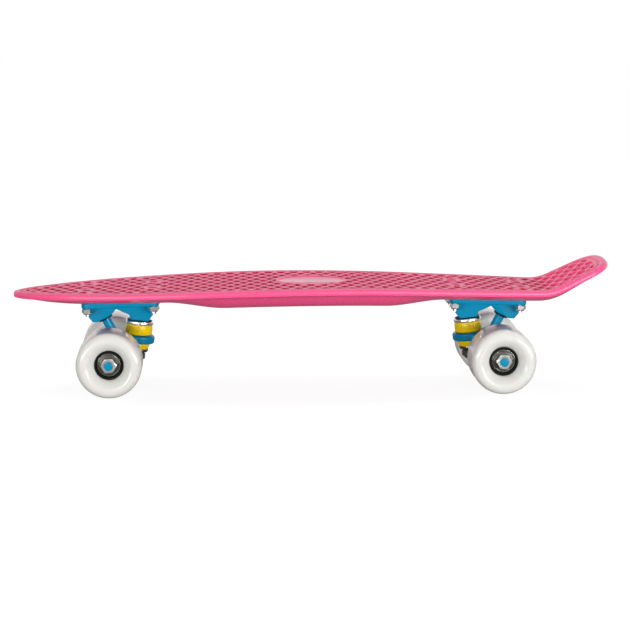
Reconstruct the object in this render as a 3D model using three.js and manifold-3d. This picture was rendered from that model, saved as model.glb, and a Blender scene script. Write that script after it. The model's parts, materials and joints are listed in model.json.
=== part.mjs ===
// A mini cruiser skateboard: an arched plastic deck with a kick tail, carried by two cast trucks.
// Lengths are in millimetres and angles in degrees. +X points to the tail and +Z up, and the wheels
// stand on Z = 0. Each truck is built in its own frame: its origin is the middle of the baseplate's top,
// +X points to the middle of the board, and the frame is tipped by the slope of the deck.
import * as THREE from 'three';
import { mergeVertices } from 'three/addons/utils/BufferGeometryUtils.js';
import Module from 'manifold-3d';

const wasm = await Module();
wasm.setup();

// Fits and clearances.
const seatGap = 0.3;
const runningGap = 0.5;
const cutLength = 1;

// Deck.
const deckLength = 558;
const deckWidth = 147;
const deckThickness = 11.8;
const bellyDepth = 7;
const tipThinningDepth = 3;
const rimHeight = 6;
const beadInset = 3;
const grooveInset = 6.8;
const fieldInset = 10.5;
const fieldDropDepth = 1;
const grooveDepth = 0.9;
const seatInset = 28;
const padLength = 61;
const padWidth = 58;
const padLipWidth = 1.6;
const padDepth = 0.6;
const archRunLength = 105;
const trucksMiddleOffset = -7.9;
const kickStartDistance = 204;
const kickBendRadius = 58;
const kickAngle = 25.6;
const deckSlope = 2.1;

// Wheels, bearings and axles.
const wheelbaseLength = 360;
const wheelDiameter = 60;
const wheelWidth = 44;
const shoulderRadius = 7;
const wheelCentreDistance = 52.5;
const faceLipRadius = 22;
const coreDiameter = 26;
const coreProudLength = 1.4;
const coreWebDiameter = 17;
const bearingDiameter = 22;
const boreDiameter = 8.5;
const bearingWidth = 7;
const bearingSpacingWidth = 24;
const axleDiameter = 7.9;
const axleSpareLength = 1.2;
const axleNutWidth = 12.7;
const axleNutLength = 6;
const speedWasherDiameter = 11.5;
const speedWasherThickness = 1;

// Baseplate.
const plateLength = 72;
const plateWidth = 54;
const plateThickness = 5;
const plateCornerRadius = 6;
const boltEndInset = 5.5;
const boltSideInset = 6.35;
const boltDiameter = 4.8;
const boltHeadDiameter = 9;
const boltHeadDepth = 2.6;
const boltSpareLength = 2;
const lockNutWidth = 9.4;
const lockNutHeight = 5.6;
const kingpinBossWidth = 28;
const pivotHousingWidth = 25;
const housingWall = 6;
const bossRadius = 8.2;

// Kingpin stack, measured along the kingpin from the top of the baseplate.
const kingpinOffset = 19.4;
const kingpinLean = 8.5;
const kingpinDiameter = 9.5;
const kingpinHeadWidth = 14.2;
const kingpinHeadHeight = 5.5;
const bossDepth = 20;
const upperWasherDiameter = 25.2;
const washerThickness = 1.6;
const upperWasherSkirtDepth = 2.6;
const upperBushingDiameter = 25.4;
const upperBushingLength = 12.2;
const ringThickness = 7.6;
const ringDiameter = 31;
const ringBoreDiameter = 15;
const chamferWidth = 1.2;
const lowerBushingDiameter = 23;
const lowerBushingLength = 6.8;
const lowerWasherDiameter = 21;
const lowerWasherSkirtDepth = 1.8;
const kingpinNutWidth = 14.3;
const kingpinNutHeight = 8;
const kingpinSpareLength = 1.5;

// Hanger and pivot.
const axleOffset = -10.9;
const axleDepth = 51.5;
const beamMiddleDiameter = 20;
const beamEndDiameter = 15.5;
const beamShoulderShare = 0.36;
const pivotMouthOffset = -15.9;
const pivotMouthDepth = 16.8;
const pivotLean = 25;
const pivotStemDiameter = 8.7;
const pivotTipDepth = 4;
const cupFlangeDiameter = 13.6;
const cupFlangeThickness = 1.6;
const cupBodyDiameter = 12.6;
const cupBodyLength = 10.4;
const cupMouthFlareWidth = 0.5;
const armInnerGap = 1.4;
const armSpreadWidth = 27;
const webWidth = 22;

// Facets round each kind of turned piece.
const wheelFacets = 32;
const ringFacets = 20;
const smallFacets = 14;
const boltFacets = 10;
const outlineSplits = 2;
const cornerFacets = 3;

// Small helpers.
const rad = THREE.MathUtils.degToRad;
const vec = (x, y) => new THREE.Vector2(x, y);
const quarterAngles = [0, 30, 60, 90];

// Drops faces that a pole has squeezed to a line.
function withoutSlivers(geometry) {
  const index = Array.from(geometry.getIndex().array);
  const kept = [];
  for (let i = 0; i < index.length; i += 3) {
    const corners = index.slice(i, i + 3);
    if (new Set(corners).size === corners.length) {
      kept.push(...corners);
    }
  }
  geometry.setIndex(kept);
  return geometry;
}

function outward(geometry) {
  const position = geometry.getAttribute('position');
  const index = geometry.getIndex();
  const corner = [new THREE.Vector3(), new THREE.Vector3(), new THREE.Vector3()];
  let volume = 0;
  for (let i = 0; i < index.count; i += 3) {
    corner.forEach((point, k) => point.fromBufferAttribute(position, index.getX(i + k)));
    volume += corner[0].dot(corner[1].cross(corner[2]));
  }
  if (volume < 0) {
    index.array.reverse();
  }
  return geometry;
}

// Keeps positions alone, joins shared points and turns the faces outwards.
function closed(geometry) {
  const plain = geometry.clone();
  plain.deleteAttribute('normal');
  plain.deleteAttribute('uv');
  return outward(withoutSlivers(mergeVertices(plain)));
}

function solid(geometry) {
  const tidy = closed(geometry);
  const vertProperties = new Float32Array(tidy.getAttribute('position').array);
  const triVerts = new Uint32Array(tidy.getIndex().array);
  return new wasm.Manifold(new wasm.Mesh({ numProp: 3, vertProperties, triVerts }));
}

function surface(manifold) {
  const mesh = manifold.getMesh();
  const geometry = new THREE.BufferGeometry();
  geometry.setAttribute('position', new THREE.BufferAttribute(mesh.vertProperties, 3));
  geometry.setIndex(new THREE.BufferAttribute(mesh.triVerts, 1));
  geometry.computeVertexNormals();
  return geometry;
}

const joined = (...parts) => parts.map(solid).reduce((a, b) => a.add(b));
const without = (body, ...cuts) => cuts.map(solid).reduce((a, b) => a.subtract(b), body);

// Turns a closed profile of [radius, height] about the Z axis.
function turned(profile, facets) {
  const points = profile.map(([radius, height]) => vec(radius, height));
  if (profile[0][0] > 0) {
    points.push(points[0].clone());
  }
  return closed(new THREE.LatheGeometry(points, facets).rotateX(Math.PI / 2));
}

const rod = (radius, low, high, facets) =>
  turned([[0, low], [radius, low], [radius, high], [0, high]], facets);
const tube = (inner, outer, low, high, facets) =>
  turned([[inner, low], [outer, low], [outer, high], [inner, high]], facets);

function hexPrism(flats, low, high) {
  const prism = new THREE.CylinderGeometry(flats / Math.sqrt(3), flats / Math.sqrt(3), high - low, 6);
  return prism.rotateX(Math.PI / 2).translate(0, 0, (low + high) / 2);
}

// Extrudes an outline drawn in X and Z across Y, centred on Y = 0.
function acrossWidth(points, width) {
  const shape = new THREE.Shape(points.map(([x, z]) => vec(x, z)));
  const body = new THREE.ExtrudeGeometry(shape, { depth: width, bevelEnabled: false });
  return closed(body.translate(0, 0, -width / 2).rotateX(Math.PI / 2));
}

// Extrudes an outline drawn in X and Y up Z.
function upright(shape, low, high, curveSegments) {
  const body = new THREE.ExtrudeGeometry(shape, { depth: high - low, bevelEnabled: false, curveSegments });
  return closed(body.translate(0, 0, low));
}

function roundedRectangle(length, width, radius) {
  const shape = new THREE.Shape();
  const x = length / 2;
  const y = width / 2;
  const corners = [[x, -y], [x, y], [-x, y], [-x, -y]];
  corners.forEach(([cornerX, cornerY], quarter) => {
    const centreX = cornerX - Math.sign(cornerX) * radius;
    const centreY = cornerY - Math.sign(cornerY) * radius;
    const start = ((quarter - 1) * Math.PI) / 2;
    shape.absarc(centreX, centreY, radius, start, start + Math.PI / 2);
  });
  shape.closePath();
  return shape;
}

const finishes = {
  deck: { color: 0xff6fa6, roughness: 0.28, metalness: 0 },
  casting: { color: 0x1189b4, roughness: 0.32, metalness: 0.25 },
  urethane: { color: 0xe9e6df, roughness: 0.3, metalness: 0 },
  bushing: { color: 0xdcb900, roughness: 0.35, metalness: 0 },
  black: { color: 0x101010, roughness: 0.5, metalness: 0 },
  chrome: { color: 0xd6d6d2, roughness: 0.15, metalness: 1 },
  steel: { color: 0x82807a, roughness: 0.3, metalness: 1 },
};
const materials = Object.fromEntries(
  Object.entries(finishes).map(([name, look]) => [name, new THREE.MeshStandardMaterial(look)]),
);

function part(name, geometry, finish) {
  const mesh = new THREE.Mesh(geometry, materials[finish]);
  mesh.name = name;
  return mesh;
}

// Sizes that follow from the driving dimensions.
const slope = rad(deckSlope);
const kick = rad(kickAngle);
const wheelRadius = wheelDiameter / 2;
const kingpinTilt = rad(kingpinLean);
const pivotTilt = rad(pivotLean);
const kingpinDown = vec(-Math.sin(kingpinTilt), -Math.cos(kingpinTilt));
const pivotDown = vec(Math.sin(pivotTilt), -Math.cos(pivotTilt));
const pivotAcross = vec(Math.cos(pivotTilt), Math.sin(pivotTilt));
const pivotMouth = vec(pivotMouthOffset, -pivotMouthDepth);
const kingpinPoint = (distance) => vec(kingpinOffset, 0).addScaledVector(kingpinDown, distance);
const pivotPoint = (distance) => pivotMouth.clone().addScaledVector(pivotDown, distance);

const upperWasherTop = bossDepth + seatGap;
const upperBushingTop = upperWasherTop + washerThickness + seatGap;
const ringTop = upperBushingTop + upperBushingLength + seatGap;
const lowerBushingTop = ringTop + ringThickness + seatGap;
const lowerWasherTop = lowerBushingTop + lowerBushingLength + seatGap;
const kingpinNutTop = lowerWasherTop + washerThickness + seatGap;
const kingpinEnd = kingpinNutTop + kingpinNutHeight + kingpinSpareLength;
const ringCentre = kingpinPoint(ringTop + ringThickness / 2);

const axleReach = axleOffset * Math.cos(slope) + axleDepth * Math.sin(slope);
const plateHeight = wheelRadius - axleOffset * Math.sin(slope) + axleDepth * Math.cos(slope);
const truckSpread = wheelbaseLength / 2 + axleReach;

// Deck. The top follows an arch: level in the middle, straight over the trucks, bent up at the tail.
function archDrop(x) {
  const away = Math.abs(x - trucksMiddleOffset);
  const curved = Math.min(away, archRunLength);
  return ((curved * curved) / (2 * archRunLength) + away - curved) * Math.tan(slope);
}

const frontPlateX = trucksMiddleOffset - truckSpread;
const deckOverPlate = (seatGap + deckThickness) / Math.cos(slope);
const crownHeight = plateHeight + deckOverPlate + archDrop(frontPlateX);

// Gives the height of the deck's top at a distance along it, and how far it leans there.
function deckTop(x) {
  if (x < kickStartDistance) {
    const away = (x - trucksMiddleOffset) / archRunLength;
    return { z: crownHeight - archDrop(x), lean: -slope * THREE.MathUtils.clamp(away, -1, 1) };
  }
  const run = x - kickStartDistance;
  const bendRun = kickBendRadius * (Math.sin(slope) + Math.sin(kick));
  const lean = Math.asin(Math.min(run, bendRun) / kickBendRadius - Math.sin(slope));
  const rise = kickBendRadius * (Math.cos(slope) - Math.cos(lean));
  const straight = Math.max(run - bendRun, 0) * Math.tan(kick);
  return { z: crownHeight - archDrop(kickStartDistance) + rise + straight, lean };
}

// Depth of the underside below the top: a deeper belly between the trucks, thinner tips.
function deckDepth(x) {
  const away = Math.abs(x - trucksMiddleOffset) / truckSpread;
  const belly = 1 - THREE.MathUtils.smoothstep(away, ...bellyRampShares);
  const tip = THREE.MathUtils.smoothstep(away, ...tipRampShares);
  return deckThickness + bellyDepth * belly - tipThinningDepth * tip;
}

// Half of the plan outline, from the nose to the tail, as shares of the half length and half width.
const outlineShares = [
  [-1, 0], [-0.992, 0.1], [-0.974, 0.205], [-0.944, 0.325], [-0.9, 0.44], [-0.83, 0.59], [-0.755, 0.705],
  [-0.66, 0.82], [-0.55, 0.9], [-0.42, 0.965], [-0.28, 0.997], [-0.15, 1], [0, 0.975], [0.15, 0.932],
  [0.3, 0.885], [0.45, 0.832], [0.6, 0.77], [0.72, 0.706], [0.83, 0.65], [0.905, 0.612], [0.943, 0.55],
  [0.966, 0.44], [0.978, 0.29], [0.982, 0.13], [0.983, 0],
];
const bellyRampShares = [0.43, 0.76];
const tipRampShares = [1.22, 1.6];

function outline() {
  const half = outlineShares.map(([along, across]) =>
    vec((along * deckLength) / 2, (across * deckWidth) / 2));
  const mirror = (point) => vec(point.x, -point.y);
  const curve = new THREE.SplineCurve([mirror(half[1]), ...half, mirror(half.at(-2))]);
  const steps = (half.length + 1) * outlineSplits;
  const fine = curve.getPoints(steps).slice(outlineSplits, -outlineSplits);
  return [...fine, ...fine.slice(1, -1).reverse().map(mirror)];
}

// The deck's section from the field's edge over the rim to the seat for the trucks. Each row holds the
// inset from the outline as a share of the field's inset, and the drop below the bead's top as a share of
// the rim's height.
const rimShares = [
  [0.62, 0.04], [beadInset / fieldInset, 0], [0.09, 0.18], [0, 0.5], [0.06, 1],
];
// The underside goes on from there: inset as a share of the seat's inset, depth as a share of what is left.
const undersideShares = [[0.11, 0.12], [0.36, 0.66], [0.64, 0.92], [1, 1]];

function deckRings(loop) {
  const groove = grooveDepth + fieldDropDepth;
  const rows = [
    { inset: fieldInset, drop: () => fieldDropDepth },
    { inset: grooveInset + grooveDepth / 2, drop: () => fieldDropDepth },
    { inset: grooveInset, drop: () => groove },
    ...rimShares.map(([inset, drop]) => ({ inset: inset * fieldInset, drop: () => drop * rimHeight })),
    ...undersideShares.map(([inset, share]) => ({
      scale: inset * seatInset,
      drop: (x) => THREE.MathUtils.lerp(rimHeight, deckDepth(x), share),
    })),
  ];
  return rows.map((row) => loop.map((point, i) => ringPoint(loop, point, i, row)));
}

// One point of a ring: inset square to the outline near the rim, or drawn to the middle further in.
function ringPoint(loop, point, i, row) {
  const along = loop[(i + 1) % loop.length].clone().sub(loop.at(i - 1)).normalize();
  const place = row.scale
    ? vec(point.x * (1 - (2 * row.scale) / deckLength), point.y * (1 - (2 * row.scale) / deckWidth))
    : vec(point.x + along.y * row.inset, point.y - along.x * row.inset);
  const top = deckTop(place.x);
  const drop = row.drop(place.x);
  return new THREE.Vector3(place.x + drop * Math.sin(top.lean), place.y, top.z - drop * Math.cos(top.lean));
}

// Skins the rings, and closes the first and the last with strips from side to side.
function deckShell() {
  const loop = outline();
  const rings = deckRings(loop);
  const count = loop.length;
  const faces = [];
  for (let r = 0; r + 1 < rings.length; r += 1) {
    for (let i = 0; i < count; i += 1) {
      const next = (i + 1) % count;
      const [a, b, c, d] = [r * count + i, r * count + next, (r + 1) * count + next, (r + 1) * count + i];
      faces.push(a, b, c, a, c, d);
    }
  }
  const last = (rings.length - 1) * count;
  for (let i = 0; i < count / 2; i += 1) {
    const across = (count - i) % count;
    const [a, b, c, d] = [i, i + 1, count - i - 1, across];
    faces.push(d, c, b, d, b, a);
    faces.push(last + a, last + b, last + c, last + a, last + c, last + d);
  }
  const geometry = new THREE.BufferGeometry().setFromPoints(rings.flat());
  geometry.setIndex(faces);
  return outward(withoutSlivers(geometry));
}

function ellipsePrism(length, width, low, high) {
  const shape = new THREE.Shape().absellipse(0, 0, length / 2, width / 2, 0, 2 * Math.PI);
  return upright(shape, low, high, ringFacets);
}

// Holes for the mounting bolts, drawn in a truck's frame.
const boltTop = seatGap + deckThickness - fieldDropDepth;
const boltPlaces = [[1, 1], [1, -1], [-1, 1], [-1, -1]].map(([x, y]) =>
  vec(x * (plateLength / 2 - boltEndInset), y * (plateWidth / 2 - boltSideInset)));

function boltHole(place) {
  const shank = boltDiameter / 2 + seatGap;
  const head = boltHeadDiameter / 2 + seatGap;
  const low = -plateThickness - cutLength;
  const high = boltTop + cutLength;
  const coneEnd = boltTop - seatGap;
  const coneStart = coneEnd - boltHeadDepth;
  const profile = [[0, low], [shank, low], [shank, coneStart], [head, coneEnd], [head, high], [0, high]];
  return turned(profile, boltFacets).translate(place.x, place.y, 0);
}

function truckMatrix(end) {
  const place = new THREE.Matrix4().makeTranslation(trucksMiddleOffset + end * truckSpread, 0, plateHeight);
  const turn = new THREE.Matrix4().makeRotationZ(end > 0 ? Math.PI : 0);
  return place.multiply(turn).multiply(new THREE.Matrix4().makeRotationY(-slope));
}

function makeDeck() {
  const field = crownHeight - fieldDropDepth;
  const lipEdge = 2 * padLipWidth;
  const lip = ellipsePrism(padLength + lipEdge, padWidth + lipEdge, field - padDepth * 2, field + padDepth);
  const floor = ellipsePrism(padLength, padWidth, field - padDepth, field + padDepth + cutLength);
  const holes = [-1, 1].flatMap((end) =>
    boltPlaces.map((place) => boltHole(place).applyMatrix4(truckMatrix(end))));
  return part('deck', surface(without(joined(deckShell(), lip), floor, ...holes)), 'deck');
}

// Truck pieces that lie along the kingpin or along the pivot.
const onKingpin = (geometry) => geometry.rotateY(kingpinTilt).translate(kingpinOffset, 0, 0);
const onPivot = (geometry) => geometry.rotateY(-pivotTilt).translate(pivotMouth.x, 0, pivotMouth.y);

const kingpinHeadTop = kingpinHeadWidth * Math.sin(kingpinTilt);
const kingpinHole = kingpinDiameter / 2 + seatGap;

function pivotHousingOutline() {
  const half = cupFlangeDiameter / 2;
  const inner = pivotMouth.clone().addScaledVector(pivotAcross, half);
  const outer = pivotMouth.clone().addScaledVector(pivotAcross, -half);
  const root = -plateThickness / 2;
  return [
    [inner.x, inner.y], [outer.x, outer.y], [outer.x - housingWall * 0.8, outer.y],
    [outer.x - housingWall * 1.4, outer.y + housingWall * 0.8], [(plateCornerRadius - plateLength) / 2, root],
    [inner.x + housingWall, root], [inner.x + housingWall * 0.85, inner.y + housingWall],
  ];
}

function kingpinHousingOutline() {
  const face = kingpinPoint(bossDepth);
  const across = vec(Math.cos(kingpinTilt), -Math.sin(kingpinTilt)).multiplyScalar(bossRadius);
  const outer = face.clone().sub(across);
  const inner = face.clone().add(across);
  const root = -plateThickness / 2;
  const archX = pivotMouth.x + (cupFlangeDiameter / 2) * pivotAcross.x + housingWall * 0.85;
  const archZ = pivotMouth.y + (cupFlangeDiameter / 2) * pivotAcross.y + housingWall;
  return [
    [outer.x, outer.y], [inner.x, inner.y], [inner.x + housingWall, inner.y + housingWall * 1.3],
    [plateLength / 2 - plateCornerRadius / 2, root], [archX - housingWall / 4, root], [archX, archZ],
    [outer.x - housingWall / 6, outer.y + housingWall * 0.8],
  ];
}

function makeBaseplate(name) {
  const plan = roundedRectangle(plateLength, plateWidth, plateCornerRadius);
  const flange = upright(plan, -plateThickness, 0, cornerFacets);
  const pivotHousing = acrossWidth(pivotHousingOutline(), pivotHousingWidth);
  const kingpinHousing = acrossWidth(kingpinHousingOutline(), kingpinBossWidth);
  const pocketRadius = cupBodyDiameter / 2 + seatGap;
  const pocket = onPivot(rod(pocketRadius, -cutLength, cupBodyLength + seatGap, smallFacets));
  const shankHole = onKingpin(rod(kingpinHole, -bossDepth - cutLength, 0, smallFacets));
  const headLow = -kingpinHeadTop - kingpinHeadHeight - seatGap;
  const headRadius = kingpinHeadWidth / Math.sqrt(3) + seatGap;
  const headHole = onKingpin(rod(headRadius, headLow, kingpinHeadTop, smallFacets));
  const body = joined(flange, pivotHousing, kingpinHousing);
  const cut = without(body, pocket, shankHole, headHole, ...boltPlaces.map(boltHole));
  return part(name, surface(cut), 'casting');
}

function makeKingpin(name) {
  const head = hexPrism(kingpinHeadWidth, -kingpinHeadTop - kingpinHeadHeight, -kingpinHeadTop);
  const shank = rod(kingpinDiameter / 2, -kingpinEnd, -kingpinHeadTop - kingpinHeadHeight / 2, smallFacets);
  return part(name, onKingpin(surface(joined(head, shank))), 'steel');
}

// A cup washer: a disc with a skirt that hugs the bushing, downwards over the upper one and upwards round
// the lower one.
function makeCupWasher(name, top, diameter, skirt, skirtDown) {
  const flip = skirtDown ? 1 : -1;
  const start = skirtDown ? -top : -top - washerThickness;
  const outer = diameter / 2;
  const inner = outer - washerThickness / 2;
  const back = start - flip * washerThickness;
  const rim = back - flip * skirt;
  const profile = [
    [kingpinHole, start], [inner, start], [outer, back], [outer, rim], [inner, rim], [inner, back],
    [kingpinHole, back],
  ];
  return part(name, onKingpin(turned(profile, ringFacets)), 'chrome');
}

// The upper bushing is a barrel whose neck sits in the washer's skirt.
function makeUpperBushing(name) {
  const neck = (upperWasherDiameter - washerThickness) / 2 - seatGap;
  const outer = upperBushingDiameter / 2;
  const chamfer = chamferWidth / 2;
  const top = -upperBushingTop;
  const low = top - upperBushingLength;
  const skirtEnd = -upperWasherTop - washerThickness - upperWasherSkirtDepth - seatGap;
  const profile = [
    [kingpinHole, top], [neck, top], [neck, skirtEnd], [outer, skirtEnd - chamfer], [outer, low + chamfer],
    [outer - chamfer, low], [kingpinHole, low],
  ];
  return part(name, onKingpin(turned(profile, ringFacets)), 'bushing');
}

// The lower bushing is a cone whose narrow end sits in the lower washer's skirt.
function makeLowerBushing(name) {
  const narrow = (lowerWasherDiameter - washerThickness) / 2 - seatGap;
  const chamfer = chamferWidth / 2;
  const top = -lowerBushingTop;
  const low = top - lowerBushingLength;
  const skirtStart = low - seatGap + lowerWasherSkirtDepth;
  const profile = [
    [kingpinHole, top], [lowerBushingDiameter / 2 - chamfer, top], [lowerBushingDiameter / 2, top - chamfer],
    [narrow, skirtStart + chamfer], [narrow, low], [kingpinHole, low],
  ];
  return part(name, onKingpin(turned(profile, ringFacets)), 'bushing');
}

function makeNut(name, flats, low, high, bore, finish) {
  const hole = rod(bore, low - cutLength, high + cutLength, boltFacets);
  return part(name, surface(without(solid(hexPrism(flats, low, high)), hole)), finish);
}

// Points of a round end, from its pole to its side.
function roundEnd(radius, base) {
  return quarterAngles.map((angle) => [
    angle === 0 ? 0 : radius * Math.sin(rad(angle)), base + radius * Math.cos(rad(angle)),
  ]);
}

function makePivotCup(name) {
  const bore = pivotStemDiameter / 2 + runningGap;
  const body = cupBodyDiameter / 2;
  const flange = cupFlangeDiameter / 2;
  const mouth = -seatGap - cupFlangeThickness;
  const profile = [
    ...roundEnd(bore, pivotTipDepth), [bore + cupMouthFlareWidth, mouth], [flange, mouth], [flange, -seatGap],
    [body, -seatGap], [body, cupBodyLength], [0, cupBodyLength],
  ];
  return part(name, onPivot(turned(profile, smallFacets)), 'black');
}

// Hanger: a beam round the axle, a ring between the bushings, two arms, a web and the pivot stem.
const beamHalf = wheelCentreDistance - bearingSpacingWidth / 2 - runningGap - speedWasherThickness;
const axleBore = axleDiameter / 2 + seatGap;
const atAxle = (geometry) => geometry.translate(axleOffset, 0, -axleDepth);

function hangerBeam() {
  const collar = beamHalf + speedWasherThickness;
  const shoulder = beamHalf * beamShoulderShare;
  const half = [
    [axleBore, collar], [speedWasherDiameter / 2, collar], [speedWasherDiameter / 2, beamHalf],
    [beamEndDiameter / 2, beamHalf], [beamMiddleDiameter / 2, shoulder],
  ];
  const mirrored = half.map(([radius, y]) => [radius, -y]).reverse();
  return atAxle(turned([...half, ...mirrored], smallFacets).rotateX(Math.PI / 2));
}

function hangerRing() {
  const outer = ringDiameter / 2;
  const inner = ringBoreDiameter / 2;
  const [low, high] = [-ringTop - ringThickness, -ringTop];
  const profile = [
    [inner, low], [outer - chamferWidth, low], [outer, low + chamferWidth], [outer, high - chamferWidth],
    [outer - chamferWidth, high], [inner, high],
  ];
  return onKingpin(turned(profile, ringFacets));
}

function pivotStem() {
  const radius = pivotStemDiameter / 2;
  const reach = (axleDepth - pivotMouthDepth - beamMiddleDiameter / 4) / Math.cos(pivotTilt);
  const tip = roundEnd(radius, pivotTipDepth);
  return onPivot(turned([...tip, [radius, -reach / 2], [radius * 1.2, -reach], [0, -reach]], smallFacets));
}

// The arms are what a side view and a top view of them have in common.
function hangerArms() {
  const thick = ringThickness;
  const start = ringCentre;
  const beamRadius = beamMiddleDiameter / 2;
  const side = [
    [start.x, start.y + thick / 4], [start.x - ringDiameter / 2, start.y + thick / 2],
    [axleOffset, -axleDepth + beamRadius * 0.95], [axleOffset - beamRadius * 0.7, -axleDepth],
    [axleOffset, -axleDepth - beamRadius * 0.8], [axleOffset + beamRadius, -axleDepth - beamRadius / 4],
    [start.x, start.y - thick / 2],
  ];
  const inner = lowerBushingDiameter / 2 + armInnerGap;
  const outer = ringDiameter / 2;
  const notch = axleOffset + beamRadius;
  const heel = axleOffset - beamRadius;
  const spread = armSpreadWidth;
  const plan = [
    [start.x, outer], [notch, outer * 1.25], [axleOffset, spread], [heel, spread],
    [heel, -spread], [axleOffset, -spread], [notch, -outer * 1.25], [start.x, -outer],
    [start.x, -inner], [notch, -inner * 0.8], [notch, inner * 0.8], [start.x, inner],
  ];
  const planShape = new THREE.Shape(plan.map(([x, y]) => vec(x, y)));
  const planPrism = upright(planShape, -axleDepth - beamMiddleDiameter, 0, 1);
  return solid(acrossWidth(side, 2 * spread + cutLength)).intersect(solid(planPrism));
}

function hangerWeb() {
  const edge = ringCentre.x - ringDiameter / 2;
  const radius = pivotStemDiameter / 2;
  const stem = pivotPoint((axleDepth - pivotMouthDepth) * 0.55);
  return acrossWidth([
    [edge + ringThickness / 3, ringCentre.y + ringThickness * 0.7], [stem.x, stem.y + radius],
    [stem.x - radius, stem.y], [axleOffset - radius, -axleDepth + radius], [axleOffset, -axleDepth],
    [edge + ringThickness / 6, ringCentre.y - ringThickness * 0.6],
  ], webWidth);
}

function makeHanger(name) {
  const body = joined(hangerBeam(), hangerRing(), pivotStem(), hangerWeb()).add(hangerArms());
  const reach = 2 * wheelCentreDistance;
  const bore = atAxle(rod(axleBore, -reach, reach, smallFacets).rotateX(Math.PI / 2));
  const ringLow = -ringTop - ringThickness;
  const ring = onKingpin(rod(ringBoreDiameter / 2, ringLow - cutLength, cutLength - ringTop, ringFacets));
  return part(name, surface(without(body, bore, ring)), 'casting');
}

const nutStart = wheelCentreDistance + bearingSpacingWidth / 2 + runningGap;
const axleEnd = nutStart + speedWasherThickness + axleNutLength + axleSpareLength;

function makeAxle(name) {
  const shaft = rod(axleDiameter / 2, -axleEnd, axleEnd, smallFacets);
  return part(name, atAxle(shaft.rotateX(Math.PI / 2)), 'steel');
}

// The outer speed washer is one with the axle nut.
function makeAxleNut(name, side) {
  const washerEnd = nutStart + speedWasherThickness;
  const nut = hexPrism(axleNutWidth, washerEnd, washerEnd + axleNutLength);
  const washer = rod(speedWasherDiameter / 2, nutStart, washerEnd + cutLength, smallFacets);
  const bore = rod(axleBore, 0, axleEnd + cutLength, smallFacets);
  const body = surface(without(joined(nut, washer), bore));
  return part(name, atAxle(body.rotateX((side * -Math.PI) / 2)), 'chrome');
}

// Wheels. Profiles hold the radius and the distance from the wheel's middle.
function tyreProfile() {
  const half = wheelWidth / 2;
  const bore = coreDiameter / 2 + seatGap;
  const shoulder = quarterAngles.map((angle) => [
    wheelRadius - shoulderRadius + shoulderRadius * Math.cos(rad(angle)),
    half - shoulderRadius + shoulderRadius * Math.sin(rad(angle)),
  ]);
  const mouth = bearingSpacingWidth / 2 + coreProudLength + runningGap;
  const dish = faceDishShares.map(([across, deep]) => [
    THREE.MathUtils.lerp(faceLipRadius, bore, across), THREE.MathUtils.lerp(half, mouth, deep),
  ]);
  const side = [...shoulder, ...dish];
  return [...side, ...side.map(([radius, y]) => [radius, -y]).reverse()];
}
const faceDishShares = [[0, 0.01], [0.45, 0.24], [0.85, 0.66], [1, 1]];

function coreProfile() {
  const end = bearingSpacingWidth / 2 + coreProudLength;
  const seat = bearingSpacingWidth / 2 - bearingWidth - seatGap;
  const bearingSeat = bearingDiameter / 2 + seatGap;
  const web = coreWebDiameter / 2;
  const side = [[coreDiameter / 2, end], [bearingSeat, end], [bearingSeat, seat], [web, seat]];
  return [...side, ...side.map(([radius, y]) => [radius, -y]).reverse()];
}

function makeWheel(name, side) {
  const centre = side * wheelCentreDistance;
  const place = (geometry, y) => atAxle(geometry.rotateX(Math.PI / 2).translate(0, y, 0));
  const bearingOffset = (bearingSpacingWidth - bearingWidth) / 2;
  const half = bearingWidth / 2;
  const bearing = (offset) =>
    place(tube(boreDiameter / 2, bearingDiameter / 2, -half, half, smallFacets), offset);
  return [
    part(`${name}_tyre`, place(turned(tyreProfile(), wheelFacets), centre), 'urethane'),
    part(`${name}_core`, place(turned(coreProfile(), ringFacets), centre), 'black'),
    part(`${name}_outer_bearing`, bearing(centre + side * bearingOffset), 'steel'),
    part(`${name}_inner_bearing`, bearing(centre - side * bearingOffset), 'steel'),
    makeAxleNut(`${name}_axle_nut`, side),
  ];
}

function makeMounting(name, place) {
  const shank = boltDiameter / 2;
  const head = boltHeadDiameter / 2;
  const nutTop = -plateThickness - seatGap;
  const low = nutTop - lockNutHeight - boltSpareLength;
  const top = boltTop - seatGap;
  const coneStart = top - boltHeadDepth;
  const profile = [[0, low], [shank, low], [shank, coneStart], [head, top - seatGap], [head, top], [0, top]];
  const bolt = part(`${name}_bolt`, turned(profile, boltFacets), 'chrome');
  const nutLow = nutTop - lockNutHeight;
  const nut = makeNut(`${name}_lock_nut`, lockNutWidth, nutLow, nutTop, shank + seatGap, 'chrome');
  [bolt, nut].forEach((piece) => piece.geometry.translate(place.x, place.y, 0));
  return [bolt, nut];
}

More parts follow.
